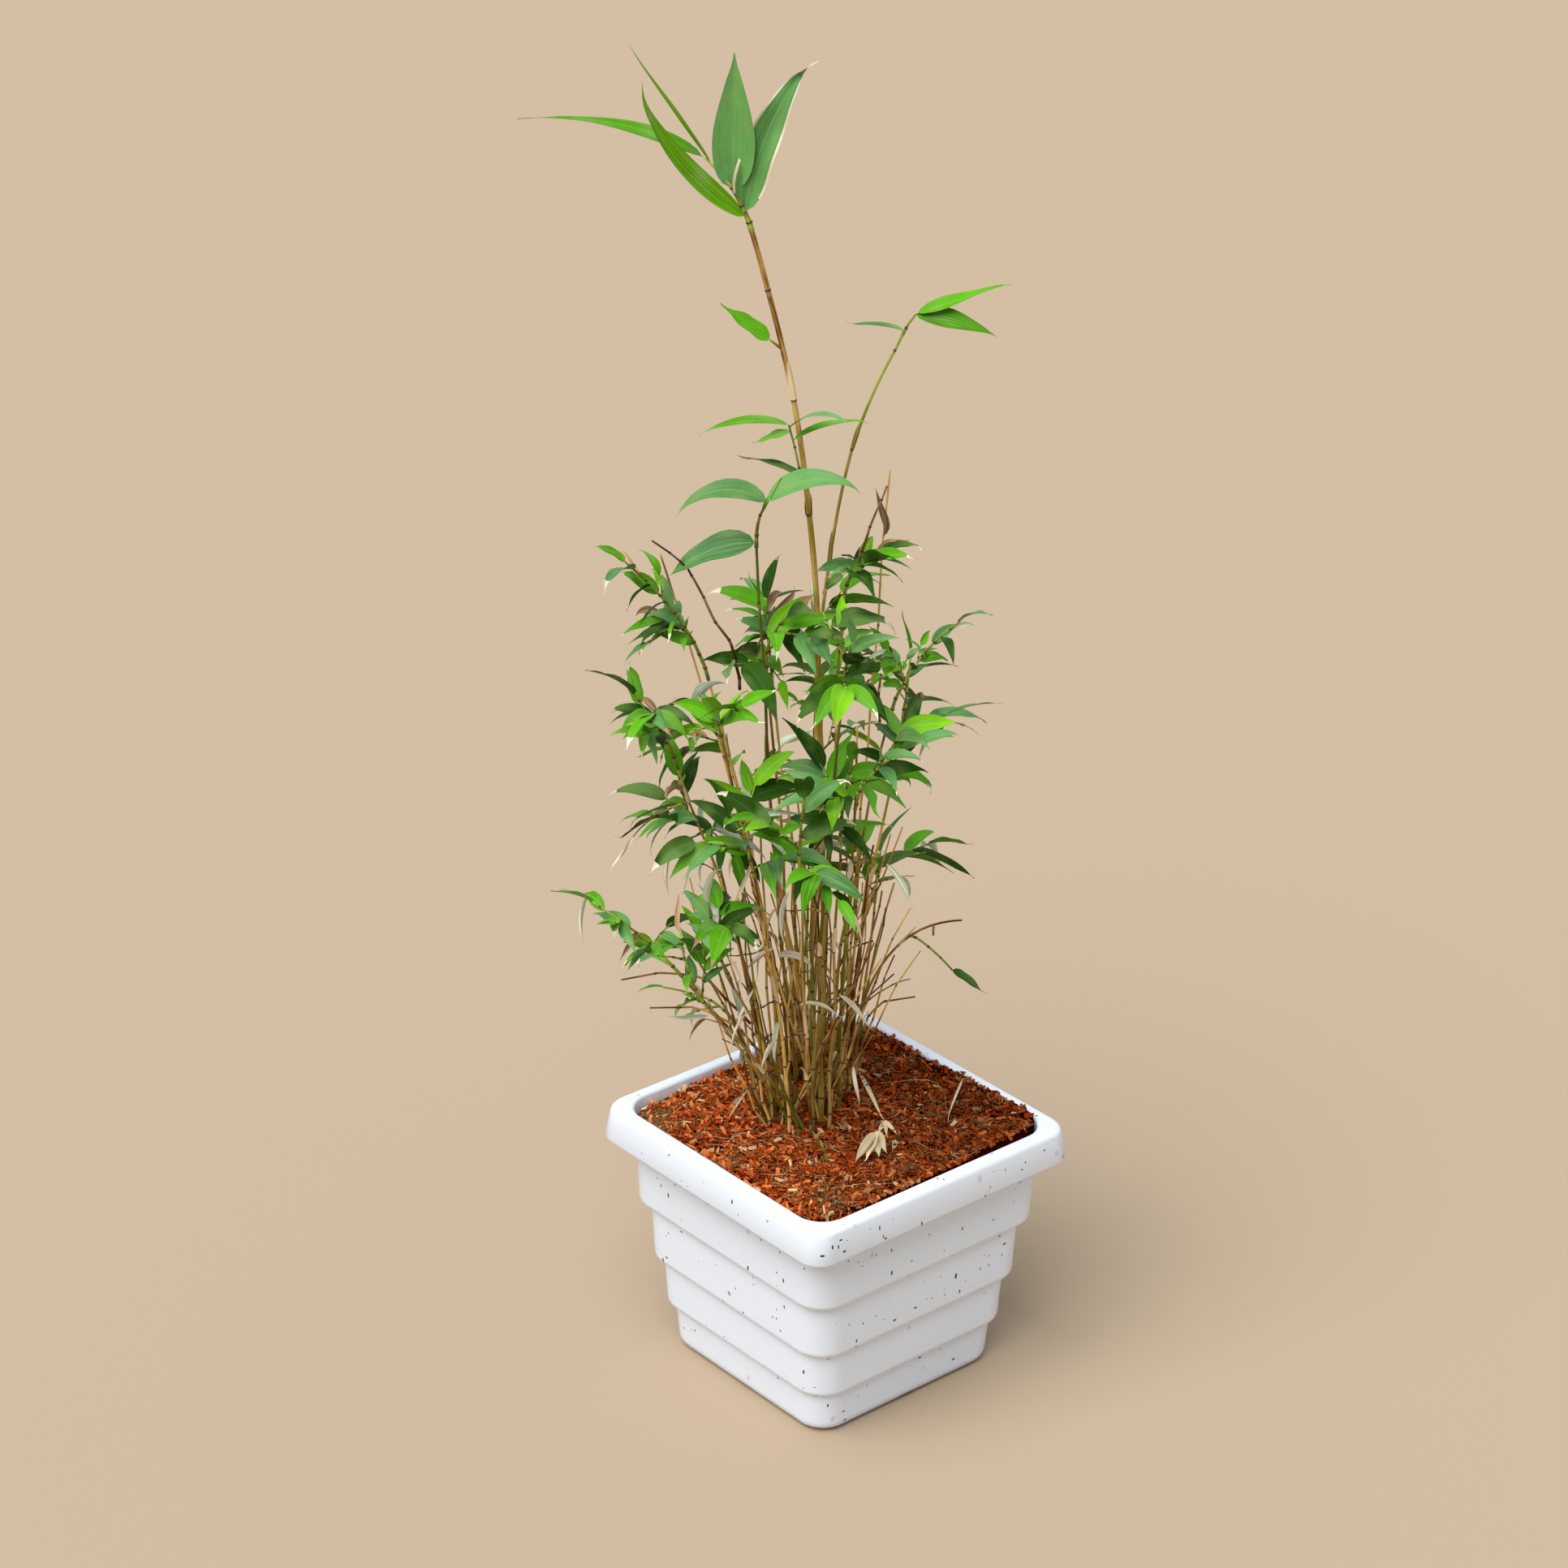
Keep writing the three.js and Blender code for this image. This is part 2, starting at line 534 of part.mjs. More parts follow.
// A closed blade from a narrow root, sunk in its twig, to a point.
function bladeGeometry(line, blade) {
  const short = blade.length > 40 ? [0, 2, 4] : [0, 3];
  const stations = blade.length > 60 ? [0, 1, 3, 5] : short;
  const points = stations.flatMap((i) => bladeSection(line, blade, i));
  const tip = points.push(line.at(-1)) - 1;
  const faces = [[0, 2, 1]];
  for (let k = 0; k < 3; k += 1) {
    const next = (k + 1) % 3;
    faces.push([tip, tip - 3 + k, tip - 3 + next]);
    for (let row = 0; row < tip - 3; row += 3) {
      faces.push([row + k, row + next, row + next + 3], [row + k, row + next + 3, row + k + 3]);
    }
  }
  return geometryOf(points, faces);
}

// A spray's space is all that lies within its reach of its stem and above the pot.
function staysInSpace(line, spray) {
  return line.every((point) => {
    const above = along(point, vec(0, 0, 1), 0.01);
    const gaps = spray.stem.slice(1).map((end, i) => segmentGap(point, above, spray.stem[i], end));
    return point.z > LOWEST_LEAF && Math.min(...gaps) < spray.reach;
  });
}

// Adds a blade to a spray, turned a little where its first place is taken, or skips it.
function addBlade(spray, base, blade) {
  for (const turn of [0, 25, -25, 50, -50]) {
    const placed = { ...blade, heading: blade.heading + turn };
    const forward = bladeLine(base, { ...placed, length: 1, bend: 0 }).at(-1).sub(base);
    const line = bladeLine(along(base, forward, -ROOT_DEPTH), placed);
    const found = rodsOf(line, BLADE_WIDTHS.map((share) => (share * placed.width) / 2), spray.name, 2);
    if (staysInSpace(line, spray) && isClear(found)) {
      rods.push(...found);
      spray.pieces.push(bladeGeometry(line, placed));
      return;
    }
  }
}

// ---------------------------------------------------------------- sprays
// A stem goes on the way it starts and then bends towards its end.
function stemPath(start, forward, end, steps) {
  const control = along(start, forward, start.distanceTo(end) * 0.5);
  return Array.from({ length: steps + 1 }, (_, i) => {
    const share = i / steps;
    const near = start.clone().lerp(control, share);
    return near.lerp(control.clone().lerp(end, share), share);
  });
}

function pointOn(path, share) {
  const place = share * (path.length - 1);
  const i = Math.min(Math.floor(place), path.length - 2);
  return path[i].clone().lerp(path[i + 1], place - i);
}

function directionOn(path, share) {
  const i = Math.min(Math.floor(share * (path.length - 1)), path.length - 2);
  return path[i + 1].clone().sub(path[i]).normalize();
}

// Turns a direction away from its shoot by an angle, round to one side.
function branchOff(forward, away, round) {
  const level = forward.clone().cross(vec(0, 0, 1)).normalize();
  const over = level.clone().cross(forward);
  const outward = along(level.multiplyScalar(Math.cos(round)), over, Math.sin(round));
  return along(forward.clone().multiplyScalar(Math.cos(away)), outward, Math.sin(away));
}

// A blade turns its face out from the middle of the clump, towards the light.
function outwardRoll(base, heading) {
  const out = vec(base.x - CROWN_MIDDLE[0], base.y - CROWN_MIDDLE[1], 0).normalize();
  return -FACE_OUT * out.dot(aim(heading + 90, 0));
}

// Blades stand alternately left and right along a shoot, and one ends it.
function leafShoot(spray, path, from, draw) {
  for (let i = 0; i < spray.blades; i += 1) {
    const share = mix(from, 1, (i + 1) / spray.blades);
    const away = i === spray.blades - 1 ? 12 : 38 + 24 * draw();
    const round = (i % 2) * Math.PI + (draw() - 0.5) * 1.1;
    const direction = branchOff(directionOn(path, share), degToRad(away), round);
    const heading = radToDeg(Math.atan2(direction.y, direction.x));
    const rise = radToDeg(Math.asin(clamp(direction.z, -1, 1)));
    const base = pointOn(path, share);
    const length = spray.length * (0.8 + 0.45 * draw());
    const bend = 20 + 50 * draw();
    const roll = outwardRoll(base, heading) + (draw() - 0.5) * 40;
    const width = length * (0.26 + 0.08 * draw());
    addBlade(spray, base, { heading, rise, bend, roll, length, width });
  }
}

// Twigs leave the stem all round, hang a little, and carry blades of their own.
function growTwigs(spray, draw) {
  const phase = draw() * Math.PI * 2;
  for (let i = 0; i < spray.twigs; i += 1) {
    const share = mix(0.12, 0.7, spray.twigs > 1 ? i / (spray.twigs - 1) : 0.4);
    const away = degToRad(42 + 20 * draw());
    const direction = branchOff(directionOn(spray.stem, share), away, phase + i * GOLDEN_TURN);
    const base = pointOn(spray.stem, share);
    const length = spray.length * TWIG_SHARE * (0.8 + 0.4 * draw());
    const end = along(along(base, direction, length), vec(0, 0, -1), length * 0.12);
    const path = stemPath(base, direction, end, 2);
    const radii = taper(TWIG_RADIUS, path.length);
    const found = rodsOf(path, radii, spray.name);
    if (staysInSpace(path, spray) && isClear(found)) {
      rods.push(...found);
      spray.pieces.push(sweep(path, radii, 3));
      leafShoot(spray, path, 0.25, draw);
    }
  }
}

// A stem starts just clear of its cane's tip or, with a height, of its side.
function stemStart(spray) {
  const path = canePaths[spray.cane];
  const { radius } = CANES.find((cane) => cane.name === spray.cane);
  if (!spray.height) {
    const forward = directionOn(path, 1);
    return { start: along(path.at(-1), forward, GAP), forward, radius: radius[1] };
  }
  const next = path.findIndex((point) => point.z > spray.height);
  const share = (spray.height - path[next - 1].z) / (path[next].z - path[next - 1].z);
  const forward = aim(spray.heading, SIDE_STEM_RISE);
  const caneRadius = mix(radius[0], radius[1], (next - 1 + share) / (path.length - 1));
  const start = along(path[next - 1].clone().lerp(path[next], share), forward, caneRadius + GAP + 0.4);
  return { start, forward, radius: SIDE_STEM_RADIUS };
}

function plantStem(spray) {
  const { start, forward, radius } = stemStart(spray);
  spray.stem = stemPath(start, forward, vec(...spray.end), STEM_STEPS);
  const radii = taper([radius, STEM_TIP_RADIUS], spray.stem.length);
  spray.pieces = [sweep(spray.stem, radii, spray.height ? 3 : 4)];
  rods.push(...rodsOf(spray.stem, radii, spray.name));
}

function leafSetSpray(spray) {
  for (const [share, heading, rise, bend, roll, length, width] of spray.blades) {
    addBlade(spray, pointOn(spray.stem, share), { heading, rise, bend, roll, length, width });
  }
}

function leafGrownSpray(spray) {
  const draw = seededDraws(spray.seed);
  leafShoot(spray, spray.stem, 0.2, draw);
  growTwigs(spray, draw);
}

// All stems are planted before any blade, so that no blade takes a stem's place.
function buildSprays() {
  const set = SET_SPRAYS.map((spray) => ({ ...spray }));
  const grown = SPRAYS.map((spray) => ({ ...spray, cane: spray.name, reach: spray.length * REACH_SHARE }));
  const all = [...set, ...grown];
  all.forEach(plantStem);
  set.forEach(leafSetSpray);
  grown.forEach(leafGrownSpray);
  all.forEach((spray) => addPlantNode(`leaves_${spray.name}`, fuse(spray.pieces), 'leaf'));
}

buildPot();
buildCoir();
CANES.forEach(buildCane);
TUFTS.forEach(buildTuft);
buildSprays();

export default group;
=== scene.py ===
# Potted bamboo: a square stepped planter of white plastic, filled with coir chips, and one clump
# of thin canes with loose sprays of leaves. Lengths are in millimetres until a mesh is made.

import math

import bpy
import numpy as np
from mathutils import Euler, Matrix, Vector


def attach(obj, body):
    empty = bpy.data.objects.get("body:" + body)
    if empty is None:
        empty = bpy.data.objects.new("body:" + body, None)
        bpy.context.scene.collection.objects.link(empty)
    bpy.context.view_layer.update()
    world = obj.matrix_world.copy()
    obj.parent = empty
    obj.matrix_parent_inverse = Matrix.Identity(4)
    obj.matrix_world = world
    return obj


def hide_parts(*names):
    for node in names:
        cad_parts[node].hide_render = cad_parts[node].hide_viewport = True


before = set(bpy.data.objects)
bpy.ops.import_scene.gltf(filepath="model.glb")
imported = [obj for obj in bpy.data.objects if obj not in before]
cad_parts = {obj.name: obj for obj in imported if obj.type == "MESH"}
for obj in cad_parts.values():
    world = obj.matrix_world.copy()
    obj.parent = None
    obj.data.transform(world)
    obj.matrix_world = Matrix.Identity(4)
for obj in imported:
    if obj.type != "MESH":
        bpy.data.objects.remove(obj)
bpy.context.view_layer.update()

# ---------------------------------------------------------------- camera
# A long lens looks down on the pot's near corner from two and a half metres away.
# The clump has its own frame, across and deep, turned to face this camera.
CLUMP_TURN = math.radians(49.6)
CAMERA_PLACE = (1.6586, -1.4541, 1.4463)
CAMERA_DROP = math.radians(25.72)
CAMERA_ROLL = math.radians(0.52)

camera_data = bpy.data.cameras.new("camera")
camera_data.lens = 97.69
camera_data.sensor_width = 36
camera = bpy.data.objects.new("camera", camera_data)
aim_down = Euler((math.pi / 2 - CAMERA_DROP, 0, CLUMP_TURN)).to_matrix().to_4x4()
camera.matrix_world = Matrix.Translation(CAMERA_PLACE) @ aim_down @ Matrix.Rotation(CAMERA_ROLL, 4, "Z")
bpy.context.scene.collection.objects.link(camera)
bpy.context.scene.camera = camera
bpy.context.scene.view_settings.view_transform = "Standard"

# ---------------------------------------------------------------- floor and light
# A plain sand-coloured studio floor, matt, far wider than the view.
# Soft daylight: a pale sky all round, one wide light from high over the camera's left shoulder,
# and a faint one from behind.
MM = 0.001
FLOOR_HALF = 40000
FLOOR_COLOUR = (0.43, 0.325, 0.222, 1)
FLOOR_SHADE = (0.418, 0.317, 0.213, 1)
SKY_COLOUR = (0.88, 0.93, 1.0, 1)
SKY_STRENGTH = 0.54


def rows(keys, *values):
    """A table: every row is a dictionary with the same keys."""
    return [dict(zip(keys.split(), row)) for row in values]


LAMPS = rows(
    "name across deep height softness strength",
    ("key_light", -0.315, -0.42, 0.85, 50, 3.6),
    ("back_light", 0.35, 0.55, 0.75, 90, 0.25),
)


def clump_to_pot(points):
    """Turns points from the clump's frame into the pot's."""
    points = np.asarray(points, float)
    turned = points.copy()
    cos, sin = math.cos(CLUMP_TURN), math.sin(CLUMP_TURN)
    turned[..., 0] = points[..., 0] * cos - points[..., 1] * sin
    turned[..., 1] = points[..., 0] * sin + points[..., 1] * cos
    return turned


def new_finish(name, colour, roughness):
    """A material with a plain base colour, and its node tree and shader for what is added."""
    material = bpy.data.materials.new(name)
    material.use_nodes = True
    tree = material.node_tree
    shader = tree.nodes["Principled BSDF"]
    shader.inputs["Base Color"].default_value = colour
    shader.inputs["Roughness"].default_value = roughness
    return material, tree, shader


def add_node(tree, kind, settings=(), **inputs):
    """A node with its settings and inputs; an input that is a socket is linked."""
    node = tree.nodes.new(kind)
    for name, value in dict(settings).items():
        setattr(node, name, value)
    for name, value in inputs.items():
        socket = node.inputs[int(name[1:]) if name[0] == "n" and name[1:].isdigit() else name]
        if isinstance(value, bpy.types.NodeSocket):
            tree.links.new(value, socket)
        else:
            socket.default_value = value
    return node


def mix_colours(tree, share, under, over, blend="MIX"):
    """One colour laid over another by a share from 0 to 1."""
    settings = {"data_type": "RGBA", "blend_type": blend}
    return add_node(tree, "ShaderNodeMix", settings, n0=share, n6=under, n7=over).outputs[2]


floor_finish, floor_tree, floor_shader = new_finish("studio_floor", FLOOR_COLOUR, 0.9)
floor_noise = add_node(floor_tree, "ShaderNodeTexNoise", Scale=3.0, Detail=2.0)
floor_tint = mix_colours(floor_tree, floor_noise.outputs["Fac"], FLOOR_COLOUR, FLOOR_SHADE)
floor_tree.links.new(floor_tint, floor_shader.inputs["Base Color"])
floor_mesh = bpy.data.meshes.new("studio_floor")
floor_half = FLOOR_HALF * MM
floor_corners = [(x * floor_half, y * floor_half, 0) for x, y in ((-1, -1), (1, -1), (1, 1), (-1, 1))]
floor_mesh.from_pydata(floor_corners, [], [(0, 1, 2, 3)])
floor_mesh.materials.append(floor_finish)
floor = bpy.data.objects.new("studio_floor", floor_mesh)
bpy.context.scene.collection.objects.link(floor)

sky = bpy.data.worlds.new("soft_sky")
sky.use_nodes = True
sky_light = sky.node_tree.nodes["Background"]
sky_light.inputs["Color"].default_value = SKY_COLOUR
sky_light.inputs["Strength"].default_value = SKY_STRENGTH
bpy.context.scene.world = sky

for lamp in LAMPS:
    lamp_data = bpy.data.lights.new(lamp["name"], "SUN")
    lamp_data.energy = lamp["strength"]
    lamp_data.angle = math.radians(lamp["softness"])
    lamp_object = bpy.data.objects.new(lamp["name"], lamp_data)
    towards_lamp = clump_to_pot([lamp["across"], lamp["deep"], lamp["height"]])
    lamp_object.rotation_euler = Vector(towards_lamp).to_track_quat("Z", "Y").to_euler()
    bpy.context.scene.collection.objects.link(lamp_object)

# ---------------------------------------------------------------- pot
# A square nursery planter, moulded in white plastic with black flecks: four tiers, each swelling
# out over the one below, and a rim turned out over a hollow lip. A darker beige tints the grooves.
POT_HEIGHT = 165
FOOT_HALF = 64
FOOT_CORNER = 13
FOOT_ROUNDING = 8
STEP_ROUNDING = 5
TIER_FLARE = 1.3
TIERS = [(72.5, 16.5, 29), (78.3, 19, 61.2), (83.8, 19, 99.6), (90, 18, 143.8)]
WALL = 2.6
FLOOR_THICKNESS = 5
RIM_INSIDE = 90.4
RIM_CORNER = 18
LIP_FOOT_HALF = 102
LIP_HEAD_HALF = 99.7
LIP_CORNER = 14
LIP_DROP = 21.2
LIP_ROUNDING = 4
RIM_ROUNDING = 2.2
NOTCH = {"width": 15, "slope": 3, "height": 3, "depth": 14}
POT_WHITE = (0.77, 0.84, 0.94, 1)
# Darker beige for the grooves, the inside and the foot.
POT_BEIGE = (0.62, 0.56, 0.47, 1)
FLECK_DARK = (0.02, 0.022, 0.035, 1)
FLECK_FAINT = (0.62, 0.64, 0.72, 1)
FLECKS = rows(
    "per_metre size share colour soft stretch shift",
    (95.0, 0.10, 0.3, FLECK_FAINT, 0.05, (1, 1, 0.7), 0.7),
    (160.0, 0.078, 0.40, FLECK_DARK, 0.012, (1, 1, 0.42), 0),
    (155.0, 0.072, 0.34, FLECK_DARK, 0.012, (0.45, 0.45, 1), 3.1),
    (290.0, 0.11, 0.13, FLECK_DARK, 0.02, (1, 1, 1), 5.3),
)
CORNER_STEPS = 10


def rounded_square(half, corner, height, steps=CORNER_STEPS):
    """A level square loop with rounded corners, counter-clockwise from above."""
    points = []
    for side in range(4):
        middle = (side + 0.5) * math.pi / 2
        reach = (half - corner) * math.sqrt(2)
        for step in range(steps + 1):
            angle = (side + step / steps) * math.pi / 2
            x = math.cos(middle) * reach + math.cos(angle) * corner
            y = math.sin(middle) * reach + math.sin(angle) * corner
            points.append((x, y, height))
    return np.array(points)


def skin(loops, close=True):
    """Points and faces of a skin over a stack of equal loops, closed at both ends if asked."""
    count = len(loops[0])
    faces = []
    for level in range(len(loops) - 1):
        for i in range(count):
            a = level * count + i
            b = level * count + (i + 1) % count
            faces.append((a, b, b + count, a + count))
    if close:
        last = (len(loops) - 1) * count
        faces.append(tuple(range(count - 1, -1, -1)))
        faces.append(tuple(range(last, last + count)))
    return np.concatenate(loops), faces


def outside_profile():
    """Sections up the outside as (half, corner, height, share of darker beige)."""
    sections = [(FOOT_HALF, FOOT_CORNER, 0, 0.7)]
    below_half, below_top = FOOT_HALF, 0
    for half, corner, top in TIERS:
        rise = STEP_ROUNDING if below_top else FOOT_ROUNDING
        sections.append((below_half + 0.3, corner, below_top + 0.02, 1))
        for degrees in (20, 35, 50, 65, 78, 90):
            turn = math.radians(degrees)
            wide = below_half + (half - TIER_FLARE - below_half) * math.sin(turn)
            beige_share = 0.25 if degrees == 20 else 0
            sections.append((wide, corner, below_top + rise * (1 - math.cos(turn)), beige_share))
        sections.append((half - TIER_FLARE * 0.35, corner, top - (top - below_top) * 0.3, 0))
        sections.append((half, corner, top - 1.5, 0))
        sections.append((half, corner, top, 1))
        below_half, below_top = half, top
    return sections


def rim_profile():
    """The underside of the lip, its drop, its rounded head and the rim's inner edge."""
    lip_foot = POT_HEIGHT - LIP_DROP
    lip_inside = POT_HEIGHT - 5
    sections = [
        (RIM_INSIDE + 2.2, RIM_CORNER - 1, lip_inside, 0),
        (LIP_HEAD_HALF - WALL, LIP_CORNER, lip_inside, 0),
        (LIP_FOOT_HALF - WALL, LIP_CORNER - 2, lip_foot + 0.4, 0),
        (LIP_FOOT_HALF - WALL * 0.5, LIP_CORNER - 1, lip_foot, 0),
        (LIP_FOOT_HALF - 0.4, LIP_CORNER, lip_foot + 0.3, 0),
        (LIP_FOOT_HALF, LIP_CORNER, lip_foot + 1.2, 0),
    ]
    for degrees in range(0, 91, 15):
        turn = math.radians(degrees)
        wide = LIP_HEAD_HALF - LIP_ROUNDING * (1 - math.cos(turn))
        sections.append((wide, LIP_CORNER, POT_HEIGHT - LIP_ROUNDING * (1 - math.sin(turn)), 0))
    for degrees in range(90, -1, -15):
        turn = math.radians(degrees)
        wide = RIM_INSIDE + RIM_ROUNDING * (1 - math.cos(turn))
        sections.append((wide, RIM_CORNER, POT_HEIGHT - RIM_ROUNDING * (1 - math.sin(turn)), 0))
    return sections


def inside_profile():
    """Down the inside, a wall's thickness in from the tiers."""
    sections = [(RIM_INSIDE - 0.4, RIM_CORNER, POT_HEIGHT - 4.5, 0.5)]
    for i in range(len(TIERS) - 1, -1, -1):
        half, corner, top = TIERS[i]
        shelf = TIERS[i - 1][2] + STEP_ROUNDING if i > 0 else FLOOR_THICKNESS + 4
        sections.append((half - WALL, corner - 1.5, top - 0.8, 0.5))
        sections.append((half - WALL - TIER_FLARE, corner - 1.5, shelf, 0.5))
    sections.append((FOOT_HALF + 1, FOOT_CORNER - 1, FLOOR_THICKNESS, 0.5))
    return sections


def make_piece(name, parts, finish, replaced=(), smooth=True):
    """Joins parts into one piece on the one body, with its finish and the nodes that it replaces. A
    part has points in millimetres and faces, and may hold values at each point for the finish."""
    starts = np.cumsum([0] + [len(part["points"]) for part in parts])
    points = np.concatenate([part["points"] for part in parts]) * MM
    faces = []
    for part, start in zip(parts, starts):
        faces.extend((np.asarray(face) + start).tolist() for face in part["faces"])
    mesh = bpy.data.meshes.new(name)
    mesh.from_pydata(points.tolist(), [], faces)
    corner_points = np.empty(len(mesh.loops), int)
    mesh.loops.foreach_get("vertex_index", corner_points)
    for key in parts[0]:
        if key in ("points", "faces"):
            continue
        values = np.concatenate([part[key] for part in parts])
        if key == "uv":
            layer = mesh.uv_layers.new(name="length_map")
            layer.data.foreach_set("uv", values[corner_points].astype(np.float32).ravel())
        else:
            layer = mesh.attributes.new(key, "FLOAT", "POINT")
            layer.data.foreach_set("value", values.astype(np.float32))
    mesh.polygons.foreach_set("use_smooth", [smooth] * len(mesh.polygons))
    mesh.materials.append(finish)
    piece = bpy.data.objects.new(name, mesh)
    bpy.context.scene.collection.objects.link(piece)
    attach(piece, "root")
    if replaced:
        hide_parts(*replaced)
    return piece


def reckon(tree, operation, *values, clamp=False):
    """One sum on sockets and numbers."""
    settings = {"operation": operation, "use_clamp": clamp}
    inputs = {f"n{i}": value for i, value in enumerate(values)}
    return add_node(tree, "ShaderNodeMath", settings, **inputs).outputs[0]


def move_place(tree, operation, place, by):
    """A place shifted or stretched."""
    return add_node(tree, "ShaderNodeVectorMath", {"operation": operation}, n0=place, n1=by).outputs[0]


def ramp_up(tree, value, start, end, low, high):
    """Runs from low to high while the value goes from start to end."""
    return add_node(tree, "ShaderNodeMapRange", n0=value, n1=start, n2=end, n3=low, n4=high).outputs[0]


def noise_at(tree, place, scale, detail=2.0, **more):
    """Cloudy values from 0 to 1, finer as the scale grows."""
    noise = add_node(tree, "ShaderNodeTexNoise", Vector=place, Scale=scale, Detail=detail, **more)
    return noise.outputs["Fac"]


def own_place(tree):
    """Where a point lies in its own piece, in metres."""
    return add_node(tree, "ShaderNodeTexCoord").outputs["Object"]


def mark_on(tree, name):
    """A value that the mesh holds for each of its points."""
    return add_node(tree, "ShaderNodeAttribute", {"attribute_name": name}).outputs["Fac"]


def finish_off(tree, shader, colour, height, strength, depth):
    """The worked-out colour and a fine relief go into the shader."""
    tree.links.new(colour, shader.inputs["Base Color"])
    relief = add_node(tree, "ShaderNodeBump", Strength=strength, Distance=depth, Height=height)
    tree.links.new(relief.outputs[0], shader.inputs["Normal"])


def pot_finish():
    """White plastic with a soft gloss, faint and dark flecks, and a patchy darker beige in the grooves,
    inside and at the foot.
    """
    finish, tree, shader = new_finish("white_plastic", POT_WHITE, 0.33)
    place = own_place(tree)
    # A patchy darker beige, strongest along the grooves, weaker inside and at the foot.
    beige_share = reckon(tree, "MULTIPLY", mark_on(tree, "beige_share"), noise_at(tree, place, 40.0, 3.0), clamp=True)
    colour = mix_colours(tree, beige_share, POT_WHITE, POT_BEIGE)
    for fleck in FLECKS:
        shift, size = fleck["shift"], fleck["size"]
        moved = move_place(tree, "ADD", place, (shift, shift * 0.7, shift * 0.3))
        stretched = move_place(tree, "MULTIPLY", moved, fleck["stretch"])
        cells = add_node(tree, "ShaderNodeTexVoronoi", Vector=stretched, Scale=fleck["per_metre"])
        luck = add_node(tree, "ShaderNodeSeparateColor", Color=cells.outputs["Color"])
        chosen = reckon(tree, "LESS_THAN", luck.outputs["Red"], fleck["share"])
        radius = reckon(tree, "MULTIPLY_ADD", luck.outputs["Green"], size * 1.5, size * 0.4)
        depth = reckon(tree, "SUBTRACT", radius, cells.outputs["Distance"])
        inside = ramp_up(tree, depth, 0.0, fleck["soft"], 0.0, 1.0)
        colour = mix_colours(tree, reckon(tree, "MULTIPLY", chosen, inside), colour, fleck["colour"])
    finish_off(tree, shader, colour, noise_at(tree, place, 55.0), 0.06, 0.001)
    shader.inputs["Subsurface Weight"].default_value = 0.12
    shader.inputs["Subsurface Radius"].default_value = (0.004, 0.004, 0.004)
    return finish


def cut_notch(pot, side):
    """A drain notch through the foot in the middle of one side."""
    half, slope, top = NOTCH["width"] / 2, NOTCH["slope"], NOTCH["height"]
    outline = [(-half, -1), (half, -1), (half - slope, top), (slope - half, top)]
    turn = Matrix.Rotation(side * math.pi / 2, 3, "Z")
    loops = [
        np.array([turn @ Vector((x, reach, z)) for x, z in outline])
        for reach in (FOOT_HALF + FOOT_ROUNDING + 2, FOOT_HALF - NOTCH["depth"])
    ]
    points, faces = skin(loops)
    cutter_mesh = bpy.data.meshes.new("notch_cutter")
    cutter_mesh.from_pydata((points * MM).tolist(), [], faces)
    cutter = bpy.data.objects.new("notch_cutter", cutter_mesh)
    bpy.context.scene.collection.objects.link(cutter)
    cut = pot.modifiers.new("notch", "BOOLEAN")
    cut.object = cutter
    cut.solver = "EXACT"
    notched = bpy.data.meshes.new_from_object(pot.evaluated_get(bpy.context.evaluated_depsgraph_get()))
    pot.modifiers.clear()
    pot.data = notched
    bpy.data.objects.remove(cutter)


def build_pot():
    sections = outside_profile() + rim_profile() + inside_profile()
    points, faces = skin([rounded_square(half, corner, height) for half, corner, height, _ in sections])
    beige_share = np.repeat([section[3] for section in sections], 4 * (CORNER_STEPS + 1))
    part = {"points": points, "faces": faces, "beige_share": beige_share}
    pot = make_piece("planter", [part], pot_finish(), ["pot"])
    for side in range(4):
        cut_notch(pot, side)
    pot.data.set_sharp_from_angle(angle=math.radians(50))


build_pot()

# ---------------------------------------------------------------- coir
# The pot is filled with chopped coconut husk: red-brown chips and crumbs with loose fibres,
# poured in by hand and heaped to the rim on one side. Olive grit lies in the left and front corners.
GAP = 0.3
SOIL_LEVEL = 158
SOIL_RIM_LEVEL = 162
SOIL_TILT = 0.04
SOIL_EDGE = 89
LEVEL_PATCH = {"across": -9, "deep": 24, "half_across": 48, "half_deep": 62}
COIR_SEED = 41
# Coir bits grow lighter towards the left across the clump, by this much for each millimetre.
LEFT_LIGHTENING = 0.0055
SHADE_SPREAD = 0.6
CHIP_KINDS = rows(
    "name colour count size lift",
    ("chips_dark", (0.0396, 0.00144, 0.000432, 1), 2800, (1.4, 5.5), -0.5),
    ("chips_brown", (0.17, 0.011, 0.0014, 1), 3000, (1.2, 6.0), 0.0),
    ("chips_red", (0.42, 0.058, 0.009, 1), 3600, (1.2, 7.0), 0.3),
    ("chips_orange", (0.68, 0.163, 0.04, 1), 3000, (1.2, 8.0), 0.5),
    ("chips_tan", (0.72, 0.37, 0.185, 1), 700, (1.2, 8.0), 0.8),
)
COIR_SHADOW = (0.020, 0.0015, 0.0004, 1)
BED_FOOT = 140
HEAP = {
    "across": 91, "deep": 36, "spread": (17, 3), "count": 120,
    "size": (1.2, 5.5), "lift": 2.6, "past_rim": -0.5,
}
GRIT_COLOUR = (0.13, 0.092, 0.042, 1)
GRIT_PATCHES = rows(
    "across deep spread count",
    (-106, 2, 15, 330), (-4, -92, 13, 190), (-60, -48, 9, 50), (40, -56, 7, 40), (20, 60, 18, 110),
)
PEBBLES = rows(
    "across deep size",
    (37, -19, 4.5), (60, -55, 4.2), (33, -24, 3.6), (26, 75, 4.0), (-72, 20, 3.4),
)
STRAND_JOINTS = 7
THIRD_TURN = 2.0944
